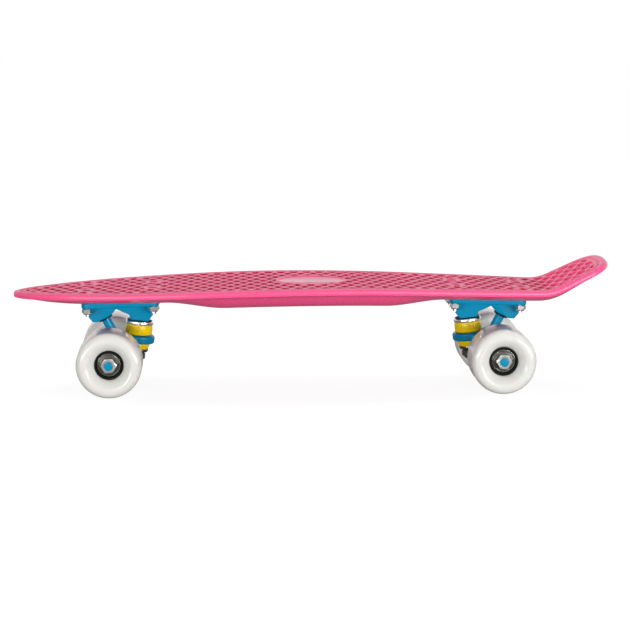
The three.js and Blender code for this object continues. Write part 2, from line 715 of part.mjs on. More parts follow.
function makeTruck(name, end) {
  const truck = new THREE.Group();
  const nutLow = -kingpinNutTop - kingpinNutHeight;
  const nut = makeNut(`${name}_kingpin_nut`, kingpinNutWidth, nutLow, -kingpinNutTop, kingpinHole, 'steel');
  onKingpin(nut.geometry);
  truck.add(
    makeBaseplate(`${name}_baseplate`),
    makePivotCup(`${name}_pivot_cup`),
    makeKingpin(`${name}_kingpin`),
    nut,
    makeCupWasher(`${name}_upper_washer`, upperWasherTop, upperWasherDiameter, upperWasherSkirtDepth, true),
    makeUpperBushing(`${name}_upper_bushing`),
    makeLowerBushing(`${name}_lower_bushing`),
    makeCupWasher(`${name}_lower_washer`, lowerWasherTop, lowerWasherDiameter, lowerWasherSkirtDepth, false),
    makeHanger(`${name}_hanger`),
    makeAxle(`${name}_axle`),
  );
  // Half a turn about Z swaps the sides of the rear truck, so its local left is the board's right.
  truck.add(...makeWheel(`${name}_left`, end), ...makeWheel(`${name}_right`, -end));
  boltPlaces.forEach((place, i) => truck.add(...makeMounting(`${name}_${i + 1}`, place)));
  truck.applyMatrix4(truckMatrix(end));
  return truck;
}

const board = new THREE.Group();
board.add(makeDeck(), makeTruck('front', -1), makeTruck('rear', 1));

// Puts the middle of the bottom of the whole board's box on the origin.
const box = new THREE.Box3().setFromObject(board, true);
const middle = box.getCenter(new THREE.Vector3());
board.position.set(-middle.x, -middle.y, -box.min.z);

export default board;
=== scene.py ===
"""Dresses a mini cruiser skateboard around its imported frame.

Sizes in the classes below are in millimetres, and a mesh is turned into metres when its piece is made.
+X points to the tail, -Y to the side that the camera sees and +Z up. Each truck is drawn in its own
frame: its origin is the middle of the baseplate's top, and +X points to the middle of the board.
"""

import json
import logging
import math
from collections.abc import Callable, Sequence
from dataclasses import dataclass, field
from enum import Enum
from typing import Any

import bmesh
import bpy
from mathutils import Matrix, Vector


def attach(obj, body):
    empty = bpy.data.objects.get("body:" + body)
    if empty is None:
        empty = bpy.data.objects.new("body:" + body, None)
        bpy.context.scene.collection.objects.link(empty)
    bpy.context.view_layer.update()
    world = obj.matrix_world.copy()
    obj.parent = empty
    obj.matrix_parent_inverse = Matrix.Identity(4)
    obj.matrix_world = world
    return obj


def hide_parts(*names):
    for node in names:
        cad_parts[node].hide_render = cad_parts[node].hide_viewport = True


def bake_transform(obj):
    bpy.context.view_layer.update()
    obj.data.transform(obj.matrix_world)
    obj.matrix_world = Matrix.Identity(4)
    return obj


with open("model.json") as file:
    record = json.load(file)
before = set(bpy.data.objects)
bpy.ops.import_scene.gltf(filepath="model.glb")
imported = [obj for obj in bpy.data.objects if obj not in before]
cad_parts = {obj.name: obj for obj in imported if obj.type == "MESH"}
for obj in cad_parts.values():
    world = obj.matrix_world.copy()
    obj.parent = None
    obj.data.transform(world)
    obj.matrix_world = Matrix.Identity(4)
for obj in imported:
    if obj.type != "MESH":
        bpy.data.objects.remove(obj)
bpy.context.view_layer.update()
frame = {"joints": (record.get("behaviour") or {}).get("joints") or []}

log = logging.getLogger("cruiser")
MM = 0.001
LOCAL = "local_place"
ON_AXIS = 1e-6
# Upright cutters run between these heights, which lie past both sides of what they cut.
CUT_LOW, CUT_HIGH = -9, 6
SEAT_GAP = 0.3
HALF_TURN = Matrix.Rotation(math.pi, 4, "X")
Profile = Sequence[Sequence[float]]
Colour = tuple[float, float, float]


class Slot(Enum):
    """The material slots of the record."""

    DECK = "deck_plastic"
    CASTING = "blue_casting"
    URETHANE = "white_urethane"
    BUSHING = "yellow_urethane"
    BLACK = "black_plastic"
    CHROME = "bright_chrome"
    STEEL = "bare_steel"


class Way(Enum):
    """A choice between two directions along an axis."""

    @property
    def word(self) -> str:
        """The word that its nodes hold."""
        return self.name.lower()


class End(Way):
    """The two ends of the board, with the direction of each along X."""

    FRONT = -1
    REAR = 1


class Side(Way):
    """The two sides of the board, with the direction of each along Y."""

    LEFT = -1
    RIGHT = 1


# Shader and geometry graphs


def operator(operation: str, swapped: bool = False) -> Callable[["Link", Any], "Link"]:
    """Makes the method behind one of Python's operators.

    Args:
        operation: The operation of the maths node that it adds.
        swapped: Whether the link is the second term.

    Returns:
        The method.
    """
    def method(self: "Link", other: Any) -> "Link":
        """Works on this link and another link or number."""
        return self.graph.maths(operation, *((other, self) if swapped else (self, other)))

    return method


@dataclass(frozen=True)
class Link:
    """A number or vector that comes out of a node, so that sums can be written as sums."""

    graph: "Graph"
    socket: bpy.types.NodeSocket

    __add__ = operator("ADD")
    __sub__ = operator("SUBTRACT")
    __rsub__ = operator("SUBTRACT", swapped=True)
    __mul__ = operator("MULTIPLY")
    __truediv__ = operator("DIVIDE")


@dataclass(frozen=True)
class Graph:
    """A node tree with one way to add a node."""

    tree: bpy.types.NodeTree

    def node(self, kind: str, settings: dict[str, Any] | None = None,
             values: dict[Any, Any] | None = None) -> bpy.types.Node:
        """Adds a node.

        Args:
            kind: The node's type.
            settings: Properties that are set first.
            values: What goes into each socket, by the socket's name or number: a link or a value.

        Returns:
            The new node.
        """
        made = self.tree.nodes.new(kind)
        for name, value in (settings or {}).items():
            setattr(made, name, value)
        for name, value in (values or {}).items():
            self._fill(made.inputs[name], value)
        return made

    def out(self, kind: str, socket: Any, settings: dict[str, Any] | None = None,
            values: dict[Any, Any] | None = None) -> Link:
        """Adds a node and returns the link from one of its outputs."""
        return Link(self, self.node(kind, settings, values).outputs[socket])

    def maths(self, operation: str, *terms: Any) -> Link:
        """Adds a maths node for one operation on numbers."""
        kind = "ShaderNodeMath"
        return self.out(kind, 0, {"operation": operation}, dict(enumerate(terms)))

    def vectors(self, operation: str, *terms: Any) -> Link:
        """Adds a vector maths node and returns its vector."""
        kind = "ShaderNodeVectorMath"
        return self.out(kind, "Vector", {"operation": operation}, dict(enumerate(terms)))

    def mixed(self, share: Any, low: Any, high: Any) -> Link:
        """Mixes two colours by a share from 0 to 1."""
        settings = {"data_type": "RGBA", "clamp_factor": True}
        made = self.node("ShaderNodeMix", settings)
        for socket, value in zip((made.inputs[0], made.inputs[6], made.inputs[7]), (share, low, high)):
            self._fill(socket, value)
        return Link(self, made.outputs[2])

    def spread(self, value: Any, low: float, high: float, to_low: float, to_high: float) -> Link:
        """Maps a number from one range to another, with no overshoot."""
        terms = dict(enumerate((value, low, high, to_low, to_high)))
        return self.out("ShaderNodeMapRange", 0, {"clamp": True}, terms)

    def axes(self, place: Any) -> tuple[Link, ...]:
        """Splits a vector into its three numbers."""
        parts = self.node("ShaderNodeSeparateXYZ", None, {0: place})
        return tuple(Link(self, parts.outputs[i]) for i in range(3))

    def noise(self, place: Any, scale: float, detail: float, roughness: float) -> Link:
        """Adds a noise texture and returns its number, from 0 to 1."""
        values = {"Vector": place, "Scale": scale, "Detail": detail, "Roughness": roughness}
        return self.out("ShaderNodeTexNoise", 0, None, values)

    def _fill(self, socket: bpy.types.NodeSocket, value: Any) -> None:
        """Links or sets one socket."""
        if isinstance(value, Link):
            self.tree.links.new(value.socket, socket)
        elif isinstance(value, bpy.types.NodeSocket):
            self.tree.links.new(value, socket)
        elif socket.type == "RGBA" and len(value) == 3:
            socket.default_value = (*value, 1)
        else:
            socket.default_value = value


# Finishes


@dataclass(frozen=True)
class Cloud:
    """A noise pattern and the part of its range that counts.

    Attributes:
        scale: Its scale, for each millimetre.
        detail: How many finer layers it has.
        rough: How strong the finer layers are.
        low: The noise that counts as nothing.
        high: The noise that counts as full.
        stretch: What the coordinates are multiplied by first.
    """

    scale: float
    detail: float = 3
    rough: float = 0.5
    low: float = 0.3
    high: float = 0.7
    stretch: tuple[float, float, float] | None = None

    def plain(self, graph: Graph, place: Link) -> Link:
        """The noise itself."""
        if self.stretch:
            place = graph.vectors("MULTIPLY", place, self.stretch)
        return graph.noise(place, self.scale, self.detail, self.rough)

    def between(self, graph: Graph, place: Link, least: float, most: float) -> Link:
        """The part that counts, spread between two numbers."""
        return graph.spread(self.plain(graph, place), self.low, self.high, least, most)


@dataclass(frozen=True)
class Finish:
    """What all finishes share: a colour that clouds, a gloss that varies and a fine relief.

    Attributes:
        tint_most: The share of the second tone where the colour's cloud is densest.
        gloss_range: The least and the most roughness, as shares of the finish's own.
        relief_depth: The depth of the relief in millimetres.
    """

    name: str
    colour: Colour
    roughness: float
    metallic: float = 0
    scatter: float = 0
    scatter_depth: float = 3
    specular: float = 0.5
    tint_cloud: Cloud = Cloud(0.03)
    tint_most: float = 1
    gloss_cloud: Cloud = Cloud(0.12, 4)
    gloss_range: tuple[float, float] = (0.85, 1.15)
    relief_depth: float = 0.004

    def build(self) -> bpy.types.Material:
        """Makes the material.

        Returns:
            The new material, with the finish's own colour, roughness and relief.
        """
        material = bpy.data.materials.new(self.name)
        material.use_nodes = True
        graph = Graph(material.node_tree)
        shader = material.node_tree.nodes["Principled BSDF"]
        constants = {
            "Metallic": self.metallic, "Subsurface Weight": self.scatter,
            "Specular IOR Level": self.specular, "Subsurface Scale": self.scatter_depth * MM,
        }
        for name, value in constants.items():
            shader.inputs[name].default_value = value
        place = self.place(graph)
        height = self.height(graph, place)
        bump = {"Height": height, "Distance": self.relief_depth * MM}
        normal = graph.out("ShaderNodeBump", "Normal", None, bump)
        for name, link in (("Base Color", self.tint(graph, place)), ("Roughness", self.gloss(graph, place)),
                           ("Normal", normal)):
            material.node_tree.links.new(link.socket, shader.inputs[name])
        return material

    def place(self, graph: Graph) -> Link:
        """The coordinates that the patterns read, in millimetres."""
        here = graph.out("ShaderNodeTexCoord", "Object")
        return graph.vectors("MULTIPLY", here, (1 / MM,) * 3)

    def tones(self) -> tuple[Colour, Colour]:
        """The two tones that the colour's cloud mixes."""
        darker = 0.94
        return tuple(darker * c for c in self.colour), self.colour

    def tint(self, graph: Graph, place: Link) -> Link:
        """The colour over the surface."""
        share = self.tint_cloud.between(graph, place, 0, self.tint_most)
        return graph.mixed(share, *self.tones())

    def gloss(self, graph: Graph, place: Link) -> Link:
        """The roughness over the surface."""
        least, most = (self.roughness * share for share in self.gloss_range)
        return self.gloss_cloud.between(graph, place, least, most)

    def height(self, graph: Graph, place: Link) -> Link:
        """The height of the fine relief, from 0 to 1."""
        raise NotImplementedError


@dataclass(frozen=True)
class MouldedPlastic(Finish):
    """Injection-moulded plastic: pigment in stretched clouds, a slow sink and a fine grain.

    Attributes:
        pad_length: The length of the oval pad about the origin, which is glossier.
        pad_width: Its width.
        pad_gloss: Its roughness, as a share of the rest's.
    """

    deep_colour: Colour = (0.5, 0.05, 0.15)
    tint_cloud: Cloud = Cloud(0.05, 4, 0.6, 0.35, 0.75, (0.25, 1, 1))
    tint_most: float = 0.12
    gloss_cloud: Cloud = Cloud(0.35, 5, 0.65)
    gloss_range: tuple[float, float] = (0.8, 1.25)
    grain: Cloud = Cloud(0.9, 2)
    sink: Cloud = Cloud(0.08, 2)
    grain_share: float = 0.15
    relief_depth: float = 0.018
    pad_length: float = 61
    pad_width: float = 58
    pad_gloss: float = 0.45

    def tones(self) -> tuple[Colour, Colour]:
        """The colour and its denser tone."""
        return self.colour, self.deep_colour

    def gloss(self, graph: Graph, place: Link) -> Link:
        """A gloss that the mould's skin breaks up slightly, and that is higher on the oval pad."""
        edge, soft = 0.25, 0.01
        x, y, _ = graph.axes(place)
        along, across = x / self.pad_length, y / self.pad_width
        away = along * along + across * across
        return super().gloss(graph, place) * graph.spread(away, edge - soft, edge, self.pad_gloss, 1)

    def height(self, graph: Graph, place: Link) -> Link:
        """A fine grain with a slow sink on top."""
        fine, slow = self.grain.plain(graph, place), self.sink.plain(graph, place)
        return fine * self.grain_share + slow * (1 - self.grain_share)


@dataclass(frozen=True)
class CastPaint(Finish):
    """Gloss paint over a rough casting."""

    pits: Cloud = Cloud(0.55, 4, 0.6)
    peel: Cloud = Cloud(1.8, 2)
    pits_share: float = 0.7
    relief_depth: float = 0.05

    def height(self, graph: Graph, place: Link) -> Link:
        """Soft pits of the casting under orange peel."""
        pits, peel = self.pits.plain(graph, place), self.peel.plain(graph, place)
        return pits * self.pits_share + peel * (1 - self.pits_share)


@dataclass(frozen=True)
class OwnFrameFinish(Finish):
    """A finish whose patterns follow the piece's own frame."""

    def place(self, graph: Graph) -> Link:
        """Coordinates in the piece's own frame, in millimetres."""
        return graph.out("ShaderNodeAttribute", "Vector", {"attribute_name": LOCAL})


@dataclass(frozen=True)
class Turned(OwnFrameFinish):
    """A finish whose marks run round the piece's own axis."""

    gloss_range: tuple[float, float] = (0.7, 1.3)
    gloss_cloud: Cloud = Cloud(9, 3, 0.7)
    relief_depth: float = 0.003

    def rings(self, graph: Graph, place: Link) -> Link:
        """Coordinates that change with the radius and the height alone."""
        across, up, along = graph.axes(place)
        radius = graph.maths("SQRT", across * across + up * up)
        return graph.out("ShaderNodeCombineXYZ", 0, None, {0: radius, 1: along})

    def gloss(self, graph: Graph, place: Link) -> Link:
        """A roughness that changes from ring to ring."""
        return super().gloss(graph, self.rings(graph, place))

    def height(self, graph: Graph, place: Link) -> Link:
        """Fine lines left by the lathe."""
        return self.gloss_cloud.plain(graph, self.rings(graph, place))


@dataclass(frozen=True)
class Urethane(Turned):
    """Cast urethane: slightly milky, with faint pour clouds and soft trimming lines."""

    shade: Colour = (0.6, 0.58, 0.5)
    tint_cloud: Cloud = Cloud(0.09, 3, 0.55, 0.4, 0.8)
    tint_most: float = 0.12
    gloss_cloud: Cloud = Cloud(3, 3, 0.7)

    def tones(self) -> tuple[Colour, Colour]:
        """Two close tones."""
        return self.colour, self.shade


@dataclass(frozen=True)
class Plating(OwnFrameFinish):
    """Bright plating with hairline handling marks and faint clouding."""

    tint_cloud: Cloud = Cloud(0.5, 3, 0.5, 0.45, 0.75)
    tint_most: float = 0.25
    hairlines: Cloud = Cloud(2.5, 4, 0.7, stretch=(0.4, 3, 3))

    def tones(self) -> tuple[Colour, Colour]:
        """Bright metal and its duller tone."""
        duller = 0.7
        return self.colour, tuple(duller * c for c in self.colour)

    def height(self, graph: Graph, place: Link) -> Link:
        """Hairlines that run one way."""
        return self.hairlines.plain(graph, place)


class Look(Enum):
    """Every finish on the board, with the slot that it belongs to."""

    DECK = (Slot.DECK, MouldedPlastic("pink_moulding", (0.99, 0.095, 0.27), 0.3, specular=0.38))
    CASTING = (Slot.CASTING, CastPaint("blue_cast_paint", (0.001, 0.222, 0.39), 0.2, specular=0.2))
    URETHANE = (Slot.URETHANE, Urethane("milky_tyre", (0.72, 0.715, 0.68), 0.18, scatter=0.1, specular=0.32,
                                        relief_depth=0.002))
    BUSHING = (Slot.BUSHING, Urethane("golden_rubber", (0.92, 0.65, 0.002), 0.2, specular=0.25,
                                      shade=(0.5, 0.3, 0.0)))
    BLACK = (Slot.BLACK, Turned("black_moulding", (0.004, 0.004, 0.0035), 0.45, specular=0.12))
    CHROME = (Slot.CHROME, Plating("bright_plating", (0.9, 0.89, 0.87), 0.2, metallic=1))
    # A darker copy of the bright plating: painted shade on the kingpin's lock nut and the lower cup washer,
    # low under the truck.
    DARK_PLATE = (Slot.CHROME, Plating("dark_plating", (0.2, 0.19, 0.18), 0.22, metallic=1))
    STEEL = (Slot.STEEL, Turned("ground_steel", (0.24, 0.235, 0.22), 0.2, metallic=1))
    SHIELD = (Slot.STEEL, Turned("pressed_shield", (0.12, 0.12, 0.11), 0.3, metallic=1,
                                 gloss_cloud=Cloud(5, 3, 0.7)))
    PAINTED_END = (Slot.CASTING, Turned("blue_axle_paint", (0.001, 0.245, 0.43), 0.24, specular=0.2))

    @property
    def slot(self) -> str:
        """The record's slot."""
        return self.value[0].value

    @property
    def material(self) -> bpy.types.Material:
        """The material, made once."""
        finish = self.value[1]
        return bpy.data.materials.get(finish.name) or finish.build()


# Meshes


@dataclass
class Draft:
    """A mesh in the making, in millimetres: points, faces, and each face's number in a list of looks."""

    points: list[Vector] = field(default_factory=list)
    faces: list[tuple[int, ...]] = field(default_factory=list)
    looks: list[int] = field(default_factory=list)
    places: list[Vector] = field(default_factory=list)

    def add(self, other: "Draft", look: int | None = None) -> "Draft":
        """Adds another draft's points and faces.

        Args:
            other: The draft to add.
            look: The look of all its faces, or None to keep their own.

        Returns:
            This draft.
        """
        start = len(self.points)
        self.points += other.points
        self.places += other.places
        self.faces += [tuple(start + i for i in face) for face in other.faces]
        self.looks += other.looks if look is None else [look] * len(other.faces)
        return self

    def moved(self, matrix: Matrix) -> "Draft":
        """Gives a copy that is moved, and keeps what each point says of its own place."""
        points = [matrix @ point for point in self.points]
        return Draft(points, list(self.faces), list(self.looks), list(self.places))

    def mesh(self, name: str, scale: float = MM) -> bpy.types.Mesh:
        """Makes a mesh with its faces pointing outwards.

        Args:
            name: The mesh's name.
            scale: What a millimetre becomes.

        Returns:
            The mesh.
        """
        data = bpy.data.meshes.new(name)
        data.from_pydata([point * scale for point in self.points], [], self.faces)
        data.polygons.foreach_set("material_index", self.looks)
        places = data.attributes.new(LOCAL, "FLOAT_VECTOR", "POINT")
        places.data.foreach_set("vector", [c for place in self.places for c in place])
        turn_outwards(data)
        return data

    def piece(self, name: str, *looks: Look, sharp: float = 28) -> bpy.types.Object:
        """Makes an object of the scene, in metres.

        Args:
            name: The piece's name.
            looks: The looks that the faces' numbers stand for.
            sharp: The angle in degrees past which an edge is shaded sharp.

        Returns:
            The object.
        """
        return placed(self.mesh(name), name, looks, sharp)


def turn_outwards(data: bpy.types.Mesh) -> None:
    """Turns the faces of closed shells outwards."""
    shell = bmesh.new()
    shell.from_mesh(data)
    bmesh.ops.recalc_face_normals(shell, faces=shell.faces)
    if shell.calc_volume(signed=True) < 0:
        bmesh.ops.reverse_faces(shell, faces=shell.faces)
    shell.to_mesh(data)
    shell.free()


def linked(name: str, data: bpy.types.ID) -> bpy.types.Object:
    """Makes an object and links it to the scene."""
    made = bpy.data.objects.new(name, data)
    bpy.context.scene.collection.objects.link(made)
    return made


def baked(host: bpy.types.Object) -> bpy.types.Mesh:
    """Gives the plain mesh that an object's modifiers make."""
    seen = bpy.context.evaluated_depsgraph_get()
    return bpy.data.meshes.new_from_object(host.evaluated_get(seen), depsgraph=seen)


def placed(data: bpy.types.Mesh, name: str, looks: Sequence[Look], sharp: float) -> bpy.types.Object:
    """Puts a mesh into the scene as a piece.

    Args:
        data: The mesh, in metres.
        name: The piece's name.
        looks: Its looks.
        sharp: The angle in degrees past which an edge is shaded sharp.

    Returns:
        The object.
    """
    if not any(data.materials):
        while data.materials:
            data.materials.pop()
        for look in looks:
            data.materials.append(look.material)
    data.shade_smooth()
    data.set_sharp_from_angle(angle=math.radians(sharp))
    piece = linked(name, data)
    looks[0].slot
    return piece


def ride(piece: bpy.types.Object, body: str, *nodes: str) -> bpy.types.Object:
    """Makes a piece move with a body and stand for CAD nodes."""
    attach(piece, body)
    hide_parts(*nodes)
    log.info("%s rides on %s and stands for %d nodes", piece.name, body, len(nodes))
    return piece


def drawn(points: Sequence[Vector], faces: list[tuple[int, ...]]) -> Draft:
    """Starts a draft with one look, in its own frame."""
    return Draft(list(points), faces, [0] * len(faces), list(points))


def quad(*corners: int) -> tuple[int, ...]:
    """A face whose doubled corners count once."""
    return tuple(dict.fromkeys(corners))


def polar(radius: float, angle: float, height: float) -> Vector:
    """The point at a distance and an angle about Z."""
    return Vector((radius * math.cos(angle), radius * math.sin(angle), height))


def lofted(rows: Sequence[Sequence[Vector]], wrap: bool) -> Draft:
    """Skins rows of points that run round a piece.

    Args:
        rows: Closed rows, each with the same number of points.
        wrap: Whether the last row joins the first. If not, both ends are capped.

    Returns:
        The draft.
    """
    count = len(rows[0])
    faces = []
    for r in range(len(rows) if wrap else len(rows) - 1):
        low, high = r * count, (r + 1) % len(rows) * count
        for i in range(count):
            j = (i + 1) % count
            faces.append((low + i, low + j, high + j, high + i))
    if not wrap:
        faces.append(tuple(reversed(range(count))))
        faces.append(tuple(range((len(rows) - 1) * count, len(rows) * count)))
    return drawn([Vector(point) for row in rows for point in row], faces)


def turned(profile: Profile, steps: int) -> Draft:
    """Turns a profile of radius and height about Z.

    Args:
        profile: The points. A profile that starts and ends on the axis is open; any other is closed.
        steps: How many steps go round.

    Returns:
        The draft.
    """
    points: list[Vector] = []
    rings: list[list[int]] = []
    for radius, height in (row[:2] for row in profile):
        start = len(points)
        if radius < ON_AXIS:
            points.append(Vector((0, 0, height)))
            rings.append([start] * steps)
            continue
        points += [polar(radius, 2 * math.pi * i / steps, height) for i in range(steps)]
        rings.append(list(range(start, start + steps)))
    if profile[0][0] > ON_AXIS:
        rings.append(rings[0])
    faces = [quad(low[i], low[(i + 1) % steps], high[(i + 1) % steps], high[i])
             for low, high in zip(rings, rings[1:]) for i in range(steps)]
    return drawn(points, faces)


def rod(radius: float, low: float, high: float, steps: int) -> Draft:
    """A plain round bar along Z."""
    return turned([(0, low), (radius, low), (radius, high), (0, high)], steps)


def mirrored(half: Profile) -> list[Sequence[float]]:
    """Runs a profile, and then its mirror image back from the last point to the first."""
    return [*half, *((r, -z, *rest) for r, z, *rest in reversed(half))]


def dome(radius: float, height: float) -> list[tuple[float, float]]:
    """The profile of a round end, from the axis outwards."""
    angles = [math.radians(a) for a in range(0, 91, 15)]
    return [(radius * math.sin(a), height + radius * math.cos(a)) for a in angles]


def eased(profile: Profile, radius: float, steps: int = 3) -> list[tuple[float, float]]:
    """Rounds the corners of a profile.

    Args:
        profile: Points of two numbers, or three where a corner has its own radius, and 0 keeps it sharp.
        radius: The radius of the other corners.
        steps: How many steps an arc has.

    Returns:
        The finer profile.
    """
    longest_share = 0.45
    ends_on_axis = profile[0][0] < ON_AXIS
    fine: list[tuple[float, float]] = []
    for i, row in enumerate(profile):
        here = Vector(row[:2])
        size = row[2] if len(row) > 2 else radius
        at_end = ends_on_axis and i in (0, len(profile) - 1)
        if at_end or size == 0:
            fine.append(tuple(here))
            continue
        before = Vector(profile[i - 1][:2]) - here
        after = Vector(profile[(i + 1) % len(profile)][:2]) - here
        size = min(size, before.length * longest_share, after.length * longest_share)
        start, end = here + before.normalized() * size, here + after.normalized() * size
        for k in range(steps + 1):
            t = k / steps
            fine.append(tuple((1 - t) ** 2 * start + 2 * t * (1 - t) * here + t * t * end))
    return fine


def smooth_through(points: Profile, splits: int) -> list[Vector]:
    """Runs a smooth curve through points, which ends on the first and the last."""
    rows = [Vector(point) for point in points]
    rows = [2 * rows[0] - rows[1], *rows, 2 * rows[-1] - rows[-2]]
    fine = []
    for a, b, c, d in zip(rows, rows[1:], rows[2:], rows[3:]):
        for k in range(splits):
            t = k / splits
            fine.append(0.5 * (2 * b + (c - a) * t + (2 * a - 5 * b + 4 * c - d) * t ** 2
                               + (3 * b - a - 3 * c + d) * t ** 3))
    return [*fine, rows[-2]]


def hexagon(flats: float, low: float, high: float, bore: float, chamfers: tuple[bool, bool]) -> Draft:
    """A hexagonal nut or head, with the cone that turning leaves on its corners.

    Args:
        flats: The width across the flats.
        low: The height of its lower end.
        high: The height of its upper end.
        bore: The radius of its hole.
        chamfers: Whether the lower and the upper end have the cone.

    Returns:
        The draft.
    """
    per_flat, face_share, edge_share, cone = 8, 0.94, 0.98, math.tan(math.radians(30))
    rows: list[list[Vector]] = [[] for _ in range(6)]
    for i in range(6 * per_flat):
        angle = math.radians(60 * i / per_flat)
        within = math.radians(60 * (i % per_flat) / per_flat - 30)
        outer = flats / 2 / math.cos(within)
        drop = (outer - face_share * flats / 2) * cone
        low_drop, high_drop = (drop if on else 0 for on in chamfers)
        low_flat, high_flat = (face_share * flats / 2 if on else outer * edge_share for on in chamfers)
        section = [(bore, low), (low_flat, low), (outer, low + low_drop), (outer, high - high_drop),
                   (high_flat, high), (bore, high)]
        for row, (radius, height) in zip(rows, section):
            row.append(polar(radius, angle, height))
    return lofted(rows, wrap=True)


def threaded(radius: float, low: float, high: float, pitch: float, steps: int = 24) -> Draft:
    """A threaded end along Z with a small cone on its upper end.

    Args:
        radius: The thread's outer radius.
        low: The height where it starts.
        high: The height of its end.
        pitch: The distance from thread to thread.
        steps: How many steps go round.

    Returns:
        The draft.
    """
    depth, per_pitch = pitch * 0.55, 6
    count = max(2, round((high - low) / pitch * per_pitch))
    rows = []
    for k in range(count + 1):
        height = low + (high - low) * k / count
        cone = radius - depth + high - height
        row = []
        for i in range(steps):
            phase = (height / pitch - i / steps) % 1
            size = min(radius - depth * abs(2 * phase - 1), cone)
            row.append(polar(size, 2 * math.pi * i / steps, height))
        rows.append(row)
    return lofted(rows, wrap=False)


def ellipse(along: float, across: float, height: float, steps: int = 112) -> list[Vector]:
    """The points of a level ellipse about the origin."""
    angles = [2 * math.pi * i / steps for i in range(steps)]
    return [Vector((along * math.cos(a), across * math.sin(a), height)) for a in angles]


def oval(along: float, across: float, low: float, high: float, steps: int = 112) -> Draft:
    """An upright prism on an ellipse."""
    return lofted([ellipse(along, across, height, steps) for height in (low, high)], wrap=False)


def prism(outline: Sequence[Sequence[float]], low: float, high: float) -> Draft:
    """An upright prism on a plan of X and Y."""
    return lofted([[Vector((x, y, height)) for x, y in outline] for height in (low, high)], wrap=False)


def wedge(outline: Sequence[tuple[float, float, float]]) -> Draft:
    """A prism across the board, from points of X, Z and the half width there."""
    rows = [[Vector((x, side * half, z)) for x, z, half in outline] for side in (-1, 1)]
    return lofted(rows, wrap=False)


def drafted(data: bpy.types.Mesh) -> Draft:
    """Turns a mesh in millimetres back into a draft."""
    points = [vertex.co.copy() for vertex in data.vertices]
    return drawn(points, [tuple(face.vertices) for face in data.polygons])


def helper(draft: Draft, name: str) -> bpy.types.Object:
    """Makes a helper object in millimetres, which never enters the scene."""
    return bpy.data.objects.new(name, draft.mesh(name, 1))


def modified(data: bpy.types.Mesh, *steps: tuple[str, dict[str, Any]]) -> bpy.types.Mesh:
    """Runs modifiers on a mesh.

    Args:
        data: The mesh.
        steps: The modifiers, each with its type and settings.

    Returns:
        The plain result.
    """
    host = linked(data.name, data)
    for kind, settings in steps:
        modifier = host.modifiers.new(kind.lower(), kind)
        for name, value in settings.items():
            setattr(modifier, name, value)
    result = baked(host)
    bpy.data.objects.remove(host)
    return result


def cut(operation: str, tool: Draft) -> tuple[str, dict[str, Any]]:
    """A modifier step that cuts with, joins or keeps what is common with a closed draft."""
    return "BOOLEAN", {"operation": operation, "solver": "MANIFOLD", "object": helper(tool, "tool")}


def cast(name: str, solids: Draft, cuts: Draft, voxel: float = 0.55, rounds: int = 6) -> bpy.types.Mesh:
    """Joins closed solids into one casting with soft edges, then machines it.

    Args:
        name: The mesh's name.
        solids: The closed solids, which may overlap, in millimetres.
        cuts: What is drilled or bored afterwards.
        voxel: The size of the skin's squares.
        rounds: How far the edges are softened.

    Returns:
        The mesh, in millimetres.
    """
    return modified(
        solids.mesh(name, 1), ("REMESH", {"mode": "VOXEL", "voxel_size": voxel}),
        ("SMOOTH", {"factor": 0.5, "iterations": rounds}), cut("DIFFERENCE", cuts))


def moved_to(data: bpy.types.Mesh, name: str, matrix: Matrix) -> bpy.types.Mesh:
    """Gives a copy of a mesh in millimetres that is moved and turned into metres."""
    copy = data.copy()
    copy.name = name
    copy.transform(Matrix.Scale(MM, 4) @ matrix)
    return copy


